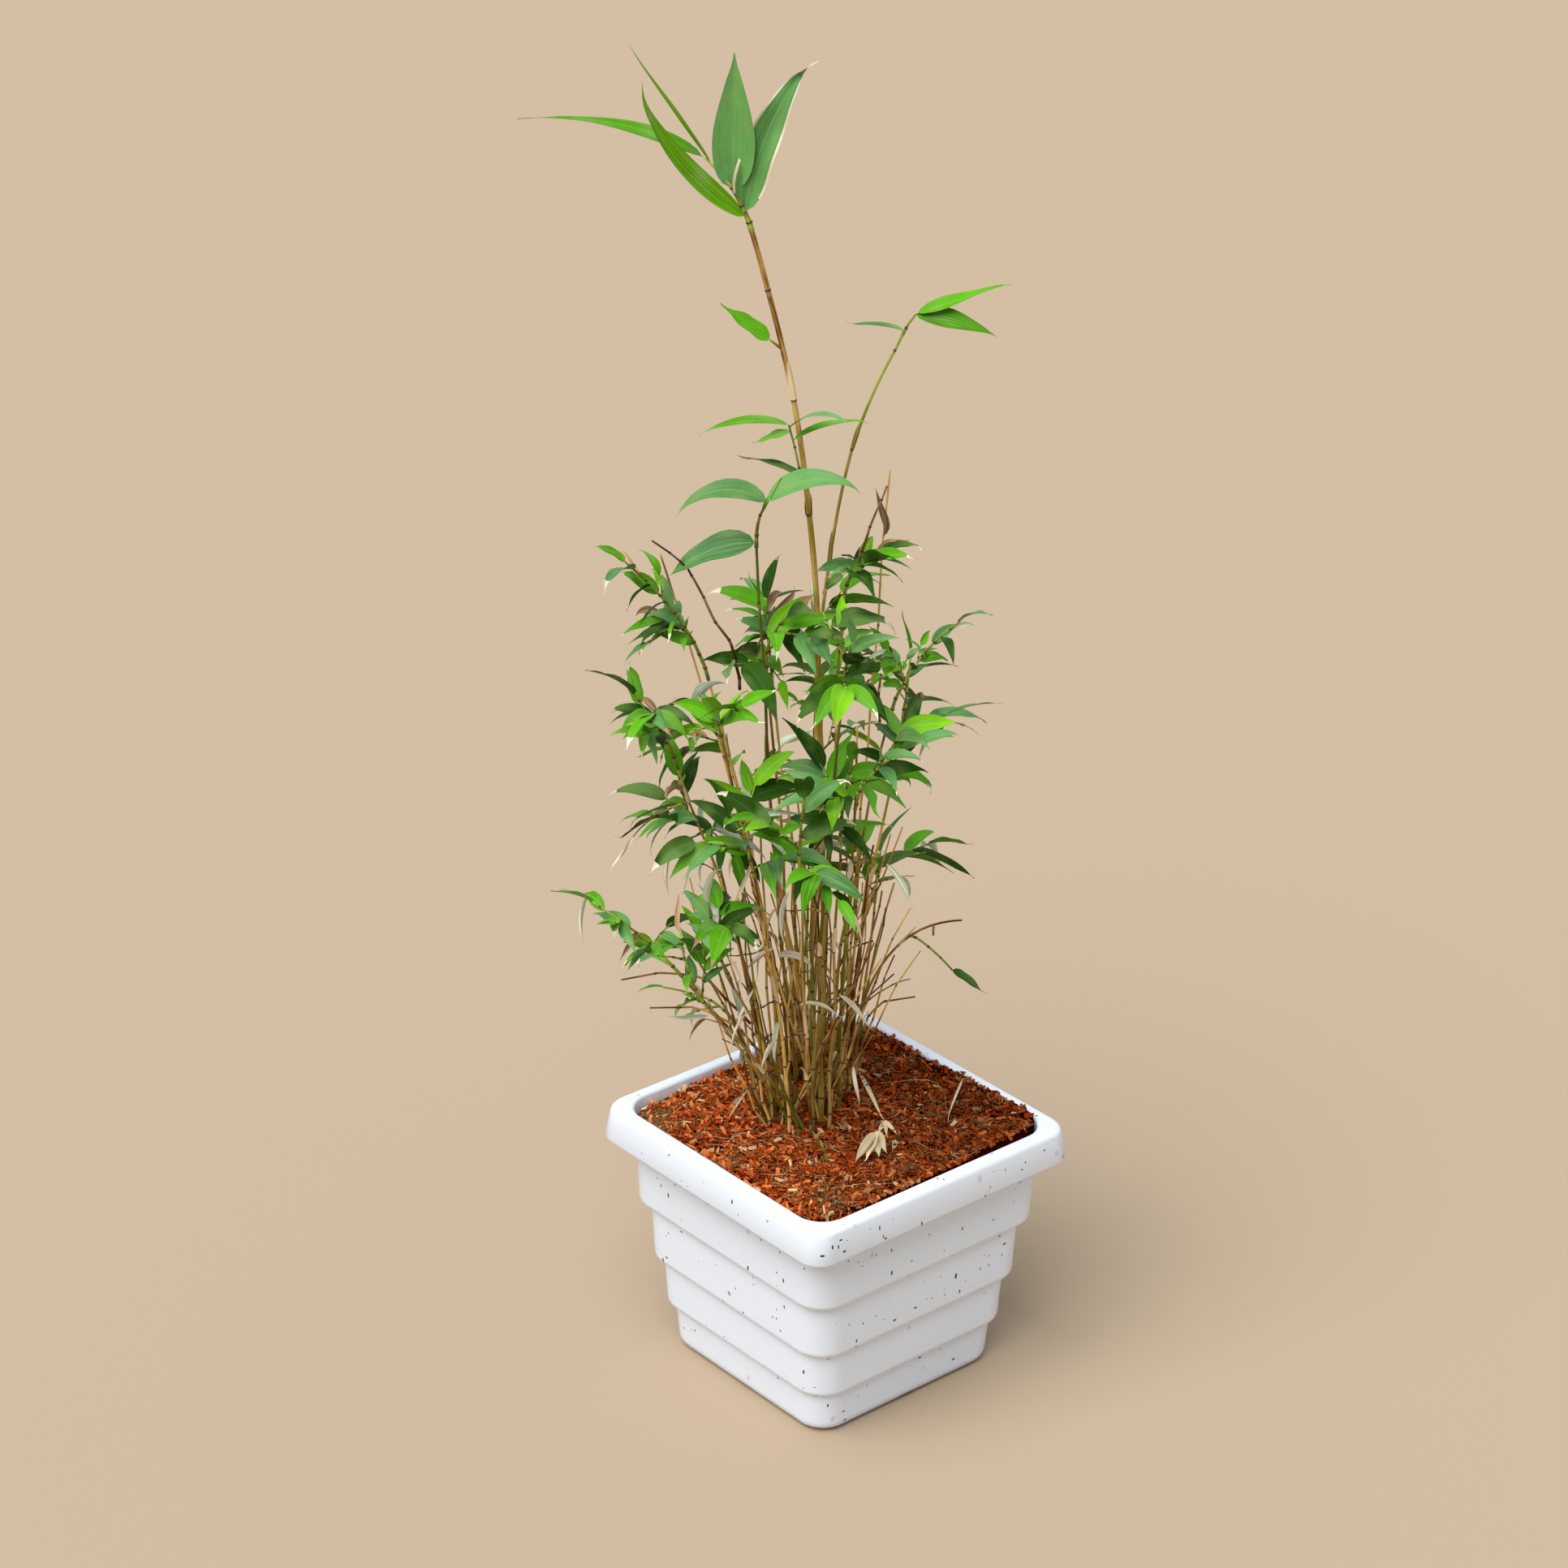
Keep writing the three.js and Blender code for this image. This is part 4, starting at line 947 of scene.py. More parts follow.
TUFTS = [
    {"name": "left", "foot": (-33, 6), "tips": [
        (-60, -18, 300), (-72, 8, 330), (-84, -30, 290), (-58, -40, 330), (-50, 20, 345)]},
    {"name": "front", "foot": (-10, 12), "tips": [
        (-30, -50, 300), (-12, -45, 330), (8, -30, 300), (-40, -20, 360), (-20, -20, 400), (-4, 10, 380)]},
    {"name": "back", "foot": (-22, 56), "tips": [
        (-108, 45, 515), (-60, 55, 330), (-40, 80, 300), (-20, 85, 290), (-5, 70, 340), (-14, 62, 420)]},
    {"name": "right", "foot": (4, 44), "tips": [
        (26, 40, 562), (26, 30, 300), (18, 70, 310), (20, 10, 340), (10, 45, 400), (34, 60, 290)]},
]


def level_way(heading):
    """The level direction with a heading in radians."""
    return np.array([math.cos(heading), math.sin(heading), 0])


def bare_cane(tuft, stub, tip):
    """A bare cane, turned about its tuft until it clears what is there, or nothing."""
    reach = math.hypot(tip[0] - stub[0], tip[1] - stub[1])
    shares = np.arange(BARE_CANE["steps"] + 1) / BARE_CANE["steps"]
    radii = lerp(*BARE_CANE["radius"], shares)
    for turn in BARE_TURNS:
        outward = level_way(math.atan2(tip[1] - stub[1], tip[0] - stub[0]) + math.radians(turn))
        foot = stub + outward * TUFT_STUB["spread"]
        end = stub + outward * reach
        limb = {"tip": (end[0], end[1], tip[2]), "bow": BARE_CANE["bow"]}
        line = cane_line(limb, foot, shares)
        line[0, 2] += TUFT_STUB["height"] / 3
        if thicket.is_clear(line, radii, tuft["name"]):
            thicket.add(line, radii, tuft["name"])
            return cane_line(limb, foot, np.linspace(0, 1, 40))
    return None


def slender_cane(tuft, stub, draw):
    """One more slender cane near the tuft, or nothing where it would run through another."""
    way = level_way(draw.uniform(0, 6.28))
    reach = draw.uniform(*SLENDER["reach"])
    foot = stub + way * draw.uniform(*SLENDER["out"])
    tip = foot + way * reach
    limb = {"tip": (tip[0], tip[1], draw.uniform(*SLENDER["height"])), "bow": draw.uniform(0.9, 1.5)}
    line = sink_foot(cane_line(limb, foot, np.linspace(0, 1, 30)))
    radii = np.linspace(draw.uniform(*SLENDER["radius"]), SLENDER["tip"], len(line))
    if not thicket.is_clear(line[1::6], radii[1::6], tuft["name"], close=0.4):
        return []
    age = draw.uniform(0.5, 1.0, 2)
    return [jointed_limb(line, radii, draw, 7, age, **SLENDER_LIMB)]


def cut_stub(stub, draw):
    """The short end of a cane that was cut off at the coir."""
    spread = draw.normal(0, CUT_STUBS["spread"], 2)
    low = stub + np.array([spread[0], spread[1], -5])
    high = low + np.array([spread[0] * 0.8, spread[1] * 0.8, draw.uniform(*CUT_STUBS["height"])])
    radii = np.full(4, draw.uniform(*CUT_STUBS["radius"]))
    return jointed_limb(np.linspace(low, high, 4), radii, draw, 7, (0.8, 1.0), first=6, last=9)


def build_tufts():
    draw = np.random.default_rng(TUFT_SEED)
    radii = [TUFT_STUB["radius"]] * 2
    rise = np.array([[0, 0, SOIL_LEVEL + GAP], [0, 0, SOIL_LEVEL + GAP + TUFT_STUB["height"]]])
    for tuft in TUFTS:
        name = tuft["name"]
        _, (stub, _) = settle(name, tuft["foot"], radii, lambda moved: rise + np.array([*moved, 0]))
        parts = []
        for tip in tuft["tips"]:
            line = bare_cane(tuft, stub, tip)
            if line is not None:
                thick = np.linspace(*BARE_CANE["radius"], len(line)) * BARE_CANE["slim"]
                age = draw.uniform(0.35, 1.0, 2)
                parts.append(jointed_limb(line, thick, draw, 7, age, **BARE_LIMB))
        for _ in range(SLENDER["count"]):
            parts.extend(slender_cane(tuft, stub, draw))
        for _ in range(CUT_STUBS["count"]):
            parts.append(cut_stub(stub, draw))
        make_piece("bare_canes_" + name, parts, cane_bark, ["tuft_" + name])


build_tufts()

# ---------------------------------------------------------------- sprays of leaves
# Leafy shoots that grow on from the canes' tips or sides, each in its own space. Green twigs carry
# pointed blades on short stalks, left and right in turn, with a pale midrib and fine parallel veins.
# Each blade is fresh, deep, greyish with a painted sheen, young, silvery or withered all over, and many have
# a dry tip.
LOWEST_LEAF = 176
STEM_STEPS = 3
STEM_TIP_RADIUS = 0.8
SIDE_STEM_RADIUS = 0.9
SIDE_STEM_RISE = 17
TWIG_RADIUS = (0.95, 0.75)
TWIG_SHARE = 0.9
REACH_SHARE = 1.8
ROOT_DEPTH = 0.15
BLADE_STATIONS = (0, 0.12, 0.3, 0.5, 0.7, 0.86, 1)
BLADE_WIDTHS = (0.12, 0.5, 0.92, 1, 0.82, 0.5, 0)
BLADE_TURNS = (0, 25, -25, 50, -50)
FACE_OUT = 48
LEAF_SEED = 79
SPRAYS = rows(
    "name end twigs blades length seed fine",
    ("high_left", (-122, -18, 529), 1, 11, 28, 8, 505),
    ("high_right", (64, -36, 502), 1, 9, 22, 27, 522),
    ("top_right", (21, 22, 520), 1, 7, 30, 29, 539),
    ("shoulder_left", (-117, -34, 455), 2, 6, 31, 8, 520),
    ("front_high", (-72, -50, 449), 2, 4, 30, 35, 511),
    ("shoulder_right", (42, -62, 440), 2, 6, 31, 9, 514),
    ("middle_left", (-100, 15, 366), 3, 5, 33, 7, 527),
    ("low_right", (26, 80, 300), 2, 5, 34, 34, 527),
    ("low_left", (-142, -34, 324), 1, 6, 27, 30, 515),
    ("front_left", (-91, -62, 320), 2, 5, 28, 17, 504),
    ("top_left", (-32, -14, 494), 3, 5, 34, 35, 540),
    ("top_front", (4, -50, 495), 3, 5, 37, 15, 505),
    ("top_back", (-18, 25, 491), 3, 5, 32, 2, 503),
    ("front_mid_left", (-62, -55, 392), 3, 5, 32, 15, 512),
    ("front_mid", (-21, -80, 413), 3, 5, 34, 37, 508),
    ("middle", (6, -30, 413), 3, 5, 32, 16, 528),
    ("creeping_left", (-102, -5, 253), 1, 2, 20, 3, 511),
    ("front_low", (-74, -82, 349), 3, 4, 31, 27, 531),
    ("back_left", (-75, 105, 376), 2, 4, 34, 10, 513),
    ("back", (-4, 118, 398), 2, 4, 34, 38, 522),
    ("back_right", (42, 102, 420), 2, 4, 34, 6, 532),
    ("back_high", (-44, 66, 461), 2, 4, 33, 22, 505),
)
SET_BLADE = ("share", "heading", "rise", "bend", "roll", "length", "width", "kind")
SET_SPRAYS = [
    {"name": "tall_fan", "cane": "tall", "end": (-78, 15, 752), "reach": 125, "blades": [
        (0.15, 200, 32, -40, -42, 104, 15, "young", {"dry": 0.95, "dry_kind": "brown", "hook": (-70, 20)}),
        (0.2, 12, 82, 30, 58, 96, 20, "grey", {
            "dry": 0.9, "dry_kind": "straw", "edge": 0.12, "hook": (25, -40)}),
        (0.5, 86, 86, -4, 0, 80, 24, "grey", {"dry": 0.965, "hook": (0, -4)}),
        (0.9, 194, 55, -3, 0, 84, 8, "young", {"hook": (0, 6)}),
        (1, 173, 26, 33, -12, 106, 13, "fresh", {"dry": 0.97, "hook": (0, 0)}),
    ]},
    {"name": "right_tall", "cane": "right_tall", "end": (39, 50, 652), "reach": 70, "blades": [
        (1, 5, 17, -4, 20, 56, 11, "fresh", {"dry": 0.97, "hook": (0, -20)}),
        (0.96, 350, -3, 16, 24, 48, 15, "fresh", {"hook": (0, -10)}),
        (0.1, 180, 18, 26, 0, 34, 6, "grey", {"dry": 0.86, "hook": (0, 40)}),
    ]},
    {"name": "left_tall", "cane": "left_tall", "end": (-43, -13, 564), "reach": 80, "blades": [
        (0.98, 180, 38, 95, -25, 58, 15, "grey", {"hook": (0, -10)}),
        (1, 350, 50, 78, 28, 60, 17, "grey", {"dry": 0.96, "dry_kind": "brown", "hook": (0, -30)}),
        (0.7, 20, 64, 8, 0, 26, 6, "fresh", {"hook": (0, 0)}),
        (0.06, 182, 1, 50, -35, 56, 18, "grey", {"dry": 0.97, "hook": (0, 10)}),
    ]},
    {"name": "tall_side", "cane": "tall", "height": 646, "heading": 200, "end": (-42, 8, 651), "reach": 50,
     "blades": [
        (1, 180, 37, 2, -30, 35, 12, "fresh", {"dry": 0.96, "hook": (0, 10)}),
    ]},
    {"name": "tall_mid", "cane": "tall", "height": 566, "heading": 270, "end": (-31.5, 3, 603), "reach": 72,
     "blades": [
        (1, 182, 16, 44, -10, 52, 9, "fresh", {"hook": (0, -10)}),
        (0.94, 192, -10, 12, -20, 22, 7, "fresh", {"hook": (0, 20)}),
        (0.97, 4, 46, 54, 10, 53, 9, "grey", {"dry": 0.95, "hook": (0, -20)}),
        (0.85, 355, 34, 32, 10, 46, 8, "fresh", {"dry": 0.9, "dry_kind": "brown", "hook": (0, -30)}),
        (0.4, 178, 22, 36, -10, 42, 8, "deep", {"dry": 0.88, "hook": (0, 30)}),
    ]},
    {"name": "hook", "cane": "hooked_right", "height": 256, "heading": 300, "end": (70, 55, 234), "reach": 40,
     "blades": [
        (1, 0, -30, 20, 20, 27, 8, "deep", {"dry": 0.9, "dry_kind": "brown", "hook": (0, 30)}),
    ]},
]
LEAF_KINDS = {
    "fresh": {"colour": (0.066, 0.232, 0.002, 1), "share": 0.37, "gloss": 0.08},
    "deep": {"colour": (0.016, 0.056, 0.001, 1), "share": 0.24, "gloss": 0.05},
    # The grey kind's pale blue-grey green is a painted sheen, dealt to leaves however they face.
    "grey": {"colour": (0.072, 0.195, 0.046, 1), "share": 0.19, "gloss": 0.2},
    "young": {"colour": (0.125, 0.325, 0.004, 1), "share": 0.10, "gloss": 0.08},
    "silver": {"colour": (0.42, 0.46, 0.34, 1), "share": 0.04, "gloss": 0.1},
    "withered": {"colour": (0.34, 0.22, 0.12, 1), "share": 0.03, "gloss": 0.05},
}
DRY_COLOURS = {"straw": (0.62, 0.50, 0.36, 1), "brown": (0.27, 0.16, 0.09, 1)}
# Cloudy patches of pale blue-green painted sheen laid over the green leaves.
LEAF_SHEEN = {"colour": (0.23, 0.39, 0.10, 1), "from": 0.5, "to": 0.68, "most": 0.4}
DRY_TIPS = {"share": 0.6, "from": (0.74, 0.95), "shrivel": 0.6, "hook": 38}
NOT_DRY = 1.2
ROLLED = ("silver", "withered")
BIG_LEAF = 60
STEM_LIMB = {"first": 9, "last": 13, "swell": 0.3, "zigzag": 0.35}
TWIG_LIMB = {"first": 6, "last": 8, "swell": 0.3, "zigzag": 0.2}
FINE_GROWTH = {"twigs": 2, "blades": 3, "length": (0.55, 1.0), "close": 0.5, "radius": (0.5, 0.3)}


def seeded_draws(seed):
    """A repeatable stream of numbers from 0 to 1, the same as the solids grow by."""
    state = (seed * 2654435761) % 2 ** 32
    while True:
        state = (state * 69069 + 12345) % 2 ** 32
        yield state / 2 ** 32


def aim(heading, rise):
    """The direction with a heading and a rise, both in degrees."""
    turn, tilt = np.radians(heading), np.radians(rise)
    return np.stack([np.cos(tilt) * np.cos(turn), np.cos(tilt) * np.sin(turn), np.sin(tilt)], -1)


def blade_line(root, blade, stations=BLADE_STATIONS):
    """A blade's middle line leaves at a heading and a rise, and bends evenly as it goes."""
    stations = np.asarray(stations, float)
    middle, step = (stations[1:] + stations[:-1]) / 2, np.diff(stations) * blade["length"]
    ways = aim(np.full(len(middle), blade["heading"]), blade["rise"] - blade["bend"] * middle)
    return np.vstack([root, root + np.cumsum(ways * step[:, None], 0)])


def stays_in_space(line, spray):
    """A spray's space is all that lies within its reach of its stem and above the pot."""
    for point in line:
        gaps = segment_gaps(point, point + np.array([0, 0, 0.01]), spray["stem"][:-1], spray["stem"][1:])
        if point[2] <= LOWEST_LEAF or gaps.min() >= spray["reach"]:
            return False
    return True


def add_blade(spray, base, blade, close=1.0):
    """Adds a blade, turned a little where its first place is taken, or skips it."""
    for turn in BLADE_TURNS:
        placed = {**blade, "heading": blade["heading"] + turn}
        root = base - aim(placed["heading"], placed["rise"]) * ROOT_DEPTH
        line = blade_line(root, placed)
        radii = np.array(BLADE_WIDTHS) * placed["width"] / 2
        if stays_in_space(line, spray) and thicket.is_clear(line, radii, spray["name"], 2, close):
            thicket.add(line, radii, spray["name"], 2)
            spray["placed"].append((root, placed))
            return


def stem_path(start, forward, end, steps):
    """A stem goes on the way it starts and then bends towards its end."""
    control = start + forward * np.linalg.norm(end - start) * 0.5
    share = (np.arange(steps + 1) / steps)[:, None]
    return lerp(lerp(start, control, share), lerp(control, end, share), share)


def point_on(path, share):
    place = share * (len(path) - 1)
    i = min(int(place), len(path) - 2)
    return lerp(path[i], path[i + 1], place - i)


def direction_on(path, share):
    i = min(int(share * (len(path) - 1)), len(path) - 2)
    return unit(path[i + 1] - path[i])


def branch_off(forward, away, around):
    """Turns a direction away from its shoot by an angle, round to one side."""
    level = unit(np.cross(forward, [0, 0, 1]))
    outward = level * math.cos(around) + np.cross(level, forward) * math.sin(around)
    return forward * math.cos(away) + outward * math.sin(away)


def outward_roll(base, heading):
    """A blade turns its face out from the middle of the clump, towards the light."""
    out = unit(np.array([base[0] - CROWN_MIDDLE[0], base[1] - CROWN_MIDDLE[1], 0]))
    return -FACE_OUT * (out @ aim(heading + 90, 0))


def leaf_shoot(spray, path, start, draw, count=None, scale=1.0, close=1.0):
    """Blades stand alternately left and right along a shoot, and one ends it."""
    count = count or spray["blades"]
    for i in range(count):
        share = lerp(start, 1, (i + 1) / count)
        away = 12 if i == count - 1 else 38 + 24 * next(draw)
        around = (i % 2) * math.pi + (next(draw) - 0.5) * 1.1
        direction = branch_off(direction_on(path, share), math.radians(away), around)
        heading = math.degrees(math.atan2(direction[1], direction[0]))
        rise = math.degrees(math.asin(min(max(direction[2], -1), 1)))
        base = point_on(path, share)
        length = spray["length"] * (0.8 + 0.45 * next(draw)) * scale
        bend = 20 + 50 * next(draw)
        roll = outward_roll(base, heading) + (next(draw) - 0.5) * 40
        width = length * (0.26 + 0.08 * next(draw))
        add_blade(spray, base, {
            "heading": heading, "rise": rise, "bend": bend, "roll": roll, "length": length, "width": width,
        }, close)


def place_twig(spray, path, radii, close=1.0):
    """Adds a twig where it keeps to its spray's space and clears the rest."""
    if not stays_in_space(path, spray) or not thicket.is_clear(path, radii, spray["name"], close=close):
        return False
    thicket.add(path, radii, spray["name"])
    spray["twig_paths"].append((path, radii))
    return True


def grow_twigs(spray, draw):
    """Twigs leave the stem all round, hang a little, and carry blades of their own."""
    phase = next(draw) * math.pi * 2
    for i in range(spray["twigs"]):
        share = lerp(0.12, 0.7, i / (spray["twigs"] - 1) if spray["twigs"] > 1 else 0.4)
        away = math.radians(42 + 20 * next(draw))
        direction = branch_off(direction_on(spray["stem"], share), away, phase + i * GOLDEN_TURN)
        base = point_on(spray["stem"], share)
        length = spray["length"] * TWIG_SHARE * (0.8 + 0.4 * next(draw))
        end = base + direction * length - np.array([0, 0, length * 0.12])
        path = stem_path(base, direction, end, 2)
        if place_twig(spray, path, np.linspace(*TWIG_RADIUS, 3)):
            leaf_shoot(spray, path, 0.25, draw)


def grow_fine_twigs(spray, draw):
    """Finer twigs fill in between, with small blades, where there is room for them."""
    paths = [spray["stem"]] + [path for path, _ in spray["twig_paths"]]
    for i in range(FINE_GROWTH["twigs"]):
        path = paths[i % len(paths)]
        share = lerp(0.15, 0.95, next(draw))
        away = math.radians(35 + 30 * next(draw))
        direction = branch_off(direction_on(path, share), away, next(draw) * 6.28)
        base = point_on(path, share)
        scale = lerp(*FINE_GROWTH["length"], next(draw))
        length = spray["length"] * scale
        end = base + direction * length - np.array([0, 0, length * 0.15])
        twig = stem_path(base, direction, end, 2)
        if place_twig(spray, twig, np.linspace(*FINE_GROWTH["radius"], 3), FINE_GROWTH["close"]):
            leaf_shoot(spray, twig, 0.3, draw, FINE_GROWTH["blades"], scale, FINE_GROWTH["close"])


def plant_stem(spray):
    """A stem starts just clear of its cane's tip or, with a height, of its side."""
    path = cane_lines[spray["cane"]]
    radius = next(cane["radius"] for cane in CANES if cane["name"] == spray["cane"])
    if "height" in spray:
        after = int(np.argmax(path[:, 2] > spray["height"]))
        share = (spray["height"] - path[after - 1, 2]) / (path[after, 2] - path[after - 1, 2])
        forward = aim(spray["heading"], SIDE_STEM_RISE)
        cane_radius = lerp(radius[0], radius[1], (after - 1 + share) / (len(path) - 1))
        start = lerp(path[after - 1], path[after], share) + forward * (cane_radius + GAP + 0.4)
        thick = SIDE_STEM_RADIUS
    else:
        forward = direction_on(path, 1)
        start, thick = path[-1] + forward * GAP, radius[1]
    spray["stem"] = stem_path(start, forward, np.array(spray["end"], float), STEM_STEPS)
    spray["stem_radii"] = np.linspace(thick, STEM_TIP_RADIUS, STEM_STEPS + 1)
    spray["forward"] = forward
    spray["placed"], spray["twig_paths"] = [], []
    thicket.add(spray["stem"], spray["stem_radii"], spray["name"])


def grow_sprays():
    """All stems are planted before any blade, so that no blade takes a stem's place."""
    set_sprays = [dict(spray) for spray in SET_SPRAYS]
    grown = [
        {**spray, "cane": spray["name"], "reach": spray["length"] * REACH_SHARE} for spray in SPRAYS
    ]
    for spray in set_sprays + grown:
        plant_stem(spray)
    for spray in set_sprays:
        for row in spray["blades"]:
            blade = {**dict(zip(SET_BLADE, row)), "dry": NOT_DRY, **row[-1]}
            add_blade(spray, point_on(spray["stem"], blade["share"]), blade)
    for spray in grown:
        draw = seeded_draws(spray["seed"])
        leaf_shoot(spray, spray["stem"], 0.2, draw)
        grow_twigs(spray, draw)
    for spray in grown:
        grow_fine_twigs(spray, seeded_draws(spray["fine"]))
    return set_sprays + grown


def leaf_outline(stations, point):
    """Half width of a leaf along its length: a stalk, a rounded base and a drawn-out point."""
    body = np.clip((np.asarray(stations) - 0.03) / 0.97, 0, 1)
    wave = np.sin(np.pi * body ** 0.6)
    return np.where(body < 0.315, wave ** 0.7, wave ** point)


def part_of(part, faces):
    """The part with only some of its faces, and only the points that they use."""
    used, numbers = np.unique(np.asarray(faces), return_inverse=True)
    kept = {key: value[used] for key, value in part.items() if key != "faces"}
    kept["faces"] = numbers.reshape(-1, 4).tolist()
    return kept


def leaf_course(root, blade, stations, hook, ramp):
    """The middle line of a leaf, with its heading and rise along it, hooked over at the tip."""
    heading = blade["heading"] + hook[0] * ramp
    rise = blade["rise"] - blade["bend"] * stations + hook[1] * ramp
    middle = (stations[1:] + stations[:-1]) / 2
    ways = aim(np.interp(middle, stations, heading), np.interp(middle, stations, rise))
    steps = ways * (np.diff(stations) * blade["length"])[:, None]
    return np.vstack([root, root + np.cumsum(steps, 0)]), heading, rise


def sort_faces(stations, across, dry_from, edge_from, draw):
    """A sheet's faces: those of the living green, and those of the dry tip and margins."""
    ragged = draw.normal(0, 0.02, across - 1)
    green, dry = [], []
    for i in range(len(stations) - 1):
        middle = (stations[i + 1] + stations[i]) / 2
        for k in range(across - 1):
            a = i * across + k
            at_margin = k in (0, across - 2) and middle > edge_from + ragged[k]
            faces = dry if at_margin or middle > dry_from + ragged[k] else green
            faces.append((a, a + 1, a + 1 + across, a + across))
    return green, dry


def leaf_sheet(root, blade, draw, across=5, along=14):
    """One leaf as a thin sheet: a stalk, a keeled and slightly waved blade, and on most a tip or a
    margin that is dry, shrunk and curled. Returns the green part and the dry part, or None for it."""
    rolled = blade["kind"] in ROLLED
    stations = np.concatenate([[0, 0.02], np.linspace(0.05, 1, along - 2) ** 0.93])
    dry_from = draw.uniform(*DRY_TIPS["from"]) if draw.random() < DRY_TIPS["share"] else NOT_DRY
    dry_from = blade.get("dry", dry_from)
    ramp = np.clip((stations - min(dry_from, 0.8)) / (1 - min(dry_from, 0.8)), 0, 1)
    strength = 1.0 if dry_from < 1 else 0.3
    hook = draw.normal(0, DRY_TIPS["hook"], 2) * strength + (0, -12)
    line, heading, rise = leaf_course(root, blade, stations, blade.get("hook", hook), ramp)
    width = blade["width"] * (0.5 if rolled else 0.97)
    half = leaf_outline(stations, draw.uniform(1.05, 1.4)) * width / 2
    if dry_from < 1:
        half = half * (1 - DRY_TIPS["shrivel"] * ramp)
    half = np.maximum(half, np.where(stations < 0.4, 0.36, np.where(stations < 0.99, 0.16, 0.03)))
    turning = draw.normal(0, 60 if rolled else 10)
    twist = np.radians(blade["roll"] + turning * stations + draw.normal(0, 35) * strength * ramp)
    level, upright = aim(heading + 90, np.zeros(len(stations))), aim(heading, rise + 90)
    side = level * np.cos(twist)[:, None] + upright * np.sin(twist)[:, None]
    up = upright * np.cos(twist)[:, None] - level * np.sin(twist)[:, None]
    spread = np.linspace(-1, 1, across)
    if across > 5:
        spread[[1, -2]] = -0.86, 0.86
    keel = draw.uniform(1.0, 1.8) if rolled else draw.uniform(0.14, 0.5)
    wave = (draw.uniform(0.0, 0.06) + (0.09 if "edge" in blade else 0)) * width
    phase, cycles = draw.uniform(0, 6.28), draw.uniform(1.2, 2.8)
    crinkle = np.sin(stations * cycles * 6.28 + phase)[:, None] * spread ** 2 * np.sign(spread) * wave
    fold = keel * (abs(spread) ** 1.1)[None] * half[:, None] + crinkle
    outward = side[:, None] * (spread[None] * half[:, None])[..., None]
    points = line[:, None] + outward + up[:, None] * fold[..., None]
    edge_from = blade.get("edge", NOT_DRY)
    if rolled:
        dry_from = edge_from = NOT_DRY
    green, dry = sort_faces(stations, across, dry_from, edge_from, draw)
    count = len(stations) * across
    whole = {
        "points": clump_to_pot(points.reshape(-1, 3)),
        "uv": np.column_stack([np.tile((spread + 1) / 2, len(stations)), np.repeat(stations, across)]),
        "shade": np.full(count, draw.random()), "wide": np.full(count, width),
    }
    return part_of(whole, green), part_of(whole, dry) if dry else None


def leaf_finish(name, colour, gloss=0.06, bloom_and_sheen=0.0):
    """A leaf's green, its own shade for each leaf, with a pale midrib, fine veins, mottling and, where asked,
    patches of painted sheen.
    """
    finish, tree, shader = new_finish("leaf_" + name, colour, 0.38)
    along = add_node(tree, "ShaderNodeUVMap", {"uv_map": "length_map"}).outputs["UV"]
    split = add_node(tree, "ShaderNodeSeparateXYZ", Vector=along)
    place, shade, wide = own_place(tree), mark_on(tree, "shade"), mark_on(tree, "wide")
    by_leaf = mix_colours(tree, shade, tint(colour, 0.5), tint(colour, 1.45, 0.002))
    mottled = mix_colours(tree, 0.35, by_leaf, noise_at(tree, place, 110.0, 3.0), "OVERLAY")
    across = reckon(tree, "MULTIPLY", split.outputs["X"], wide)
    wave = reckon(tree, "SINE", reckon(tree, "MULTIPLY", across, 7.0))
    veins = reckon(tree, "MULTIPLY_ADD", wave, 0.5, 0.5)
    veined = mix_colours(tree, reckon(tree, "MULTIPLY", veins, 0.26), mottled, tint(colour, 2.2, 0.01))
    lane, by_luck = reckon(tree, "MULTIPLY", across, 0.9), reckon(tree, "MULTIPLY", shade, 30.0)
    lanes = add_node(tree, "ShaderNodeCombineXYZ", X=lane, Y=split.outputs["Y"], Z=by_luck).outputs[0]
    streaks = ramp_up(tree, noise_at(tree, lanes, 1.6), 0.42, 0.64, 0.0, 0.42)
    streaked = mix_colours(tree, streaks, veined, tint(colour, 1.9, 0.012))
    off_rib = reckon(tree, "ABSOLUTE", reckon(tree, "SUBTRACT", split.outputs["X"], 0.5))
    rib = ramp_up(tree, reckon(tree, "MULTIPLY", off_rib, wide), 0.08, 0.38, 0.38, 0.0)
    ribbed = mix_colours(tree, rib, streaked, tint(colour, 2.4, 0.04))
    # Painted sheen: cloudy patches blended towards a pale blue-green.
    cloudy = noise_at(tree, place, 48.0, 1.0)
    patches = ramp_up(tree, cloudy, LEAF_SHEEN["from"], LEAF_SHEEN["to"], 0.0, bloom_and_sheen)
    with_painted_sheen = mix_colours(tree, patches, ribbed, LEAF_SHEEN["colour"])
    finish_off(tree, shader, with_painted_sheen, veins, 0.25, 0.0004)
    shader.inputs["Specular IOR Level"].default_value = gloss
    return finish


def stem_limbs(spray, draw):
    """The jointed stem of a spray and its twigs."""
    start = spray["stem"][0] - spray["forward"] * 1.6
    fine = stem_path(start, spray["forward"], spray["stem"][-1], 16)
    radii = np.linspace(spray["stem_radii"][0], spray["stem_radii"][-1] * 0.7, 17)
    limbs = [jointed_limb(fine, radii, draw, 6, (0.14, 0.02), **STEM_LIMB)]
    for path, twig_radii in spray["twig_paths"]:
        fine = points_at(np.linspace(0, 2, 9), range(3), path)
        radii = np.linspace(twig_radii[0] * 0.85, 0.4, 9)
        limbs.append(jointed_limb(fine, radii, draw, 5, (0.15, 0.0), **TWIG_LIMB))
    return limbs


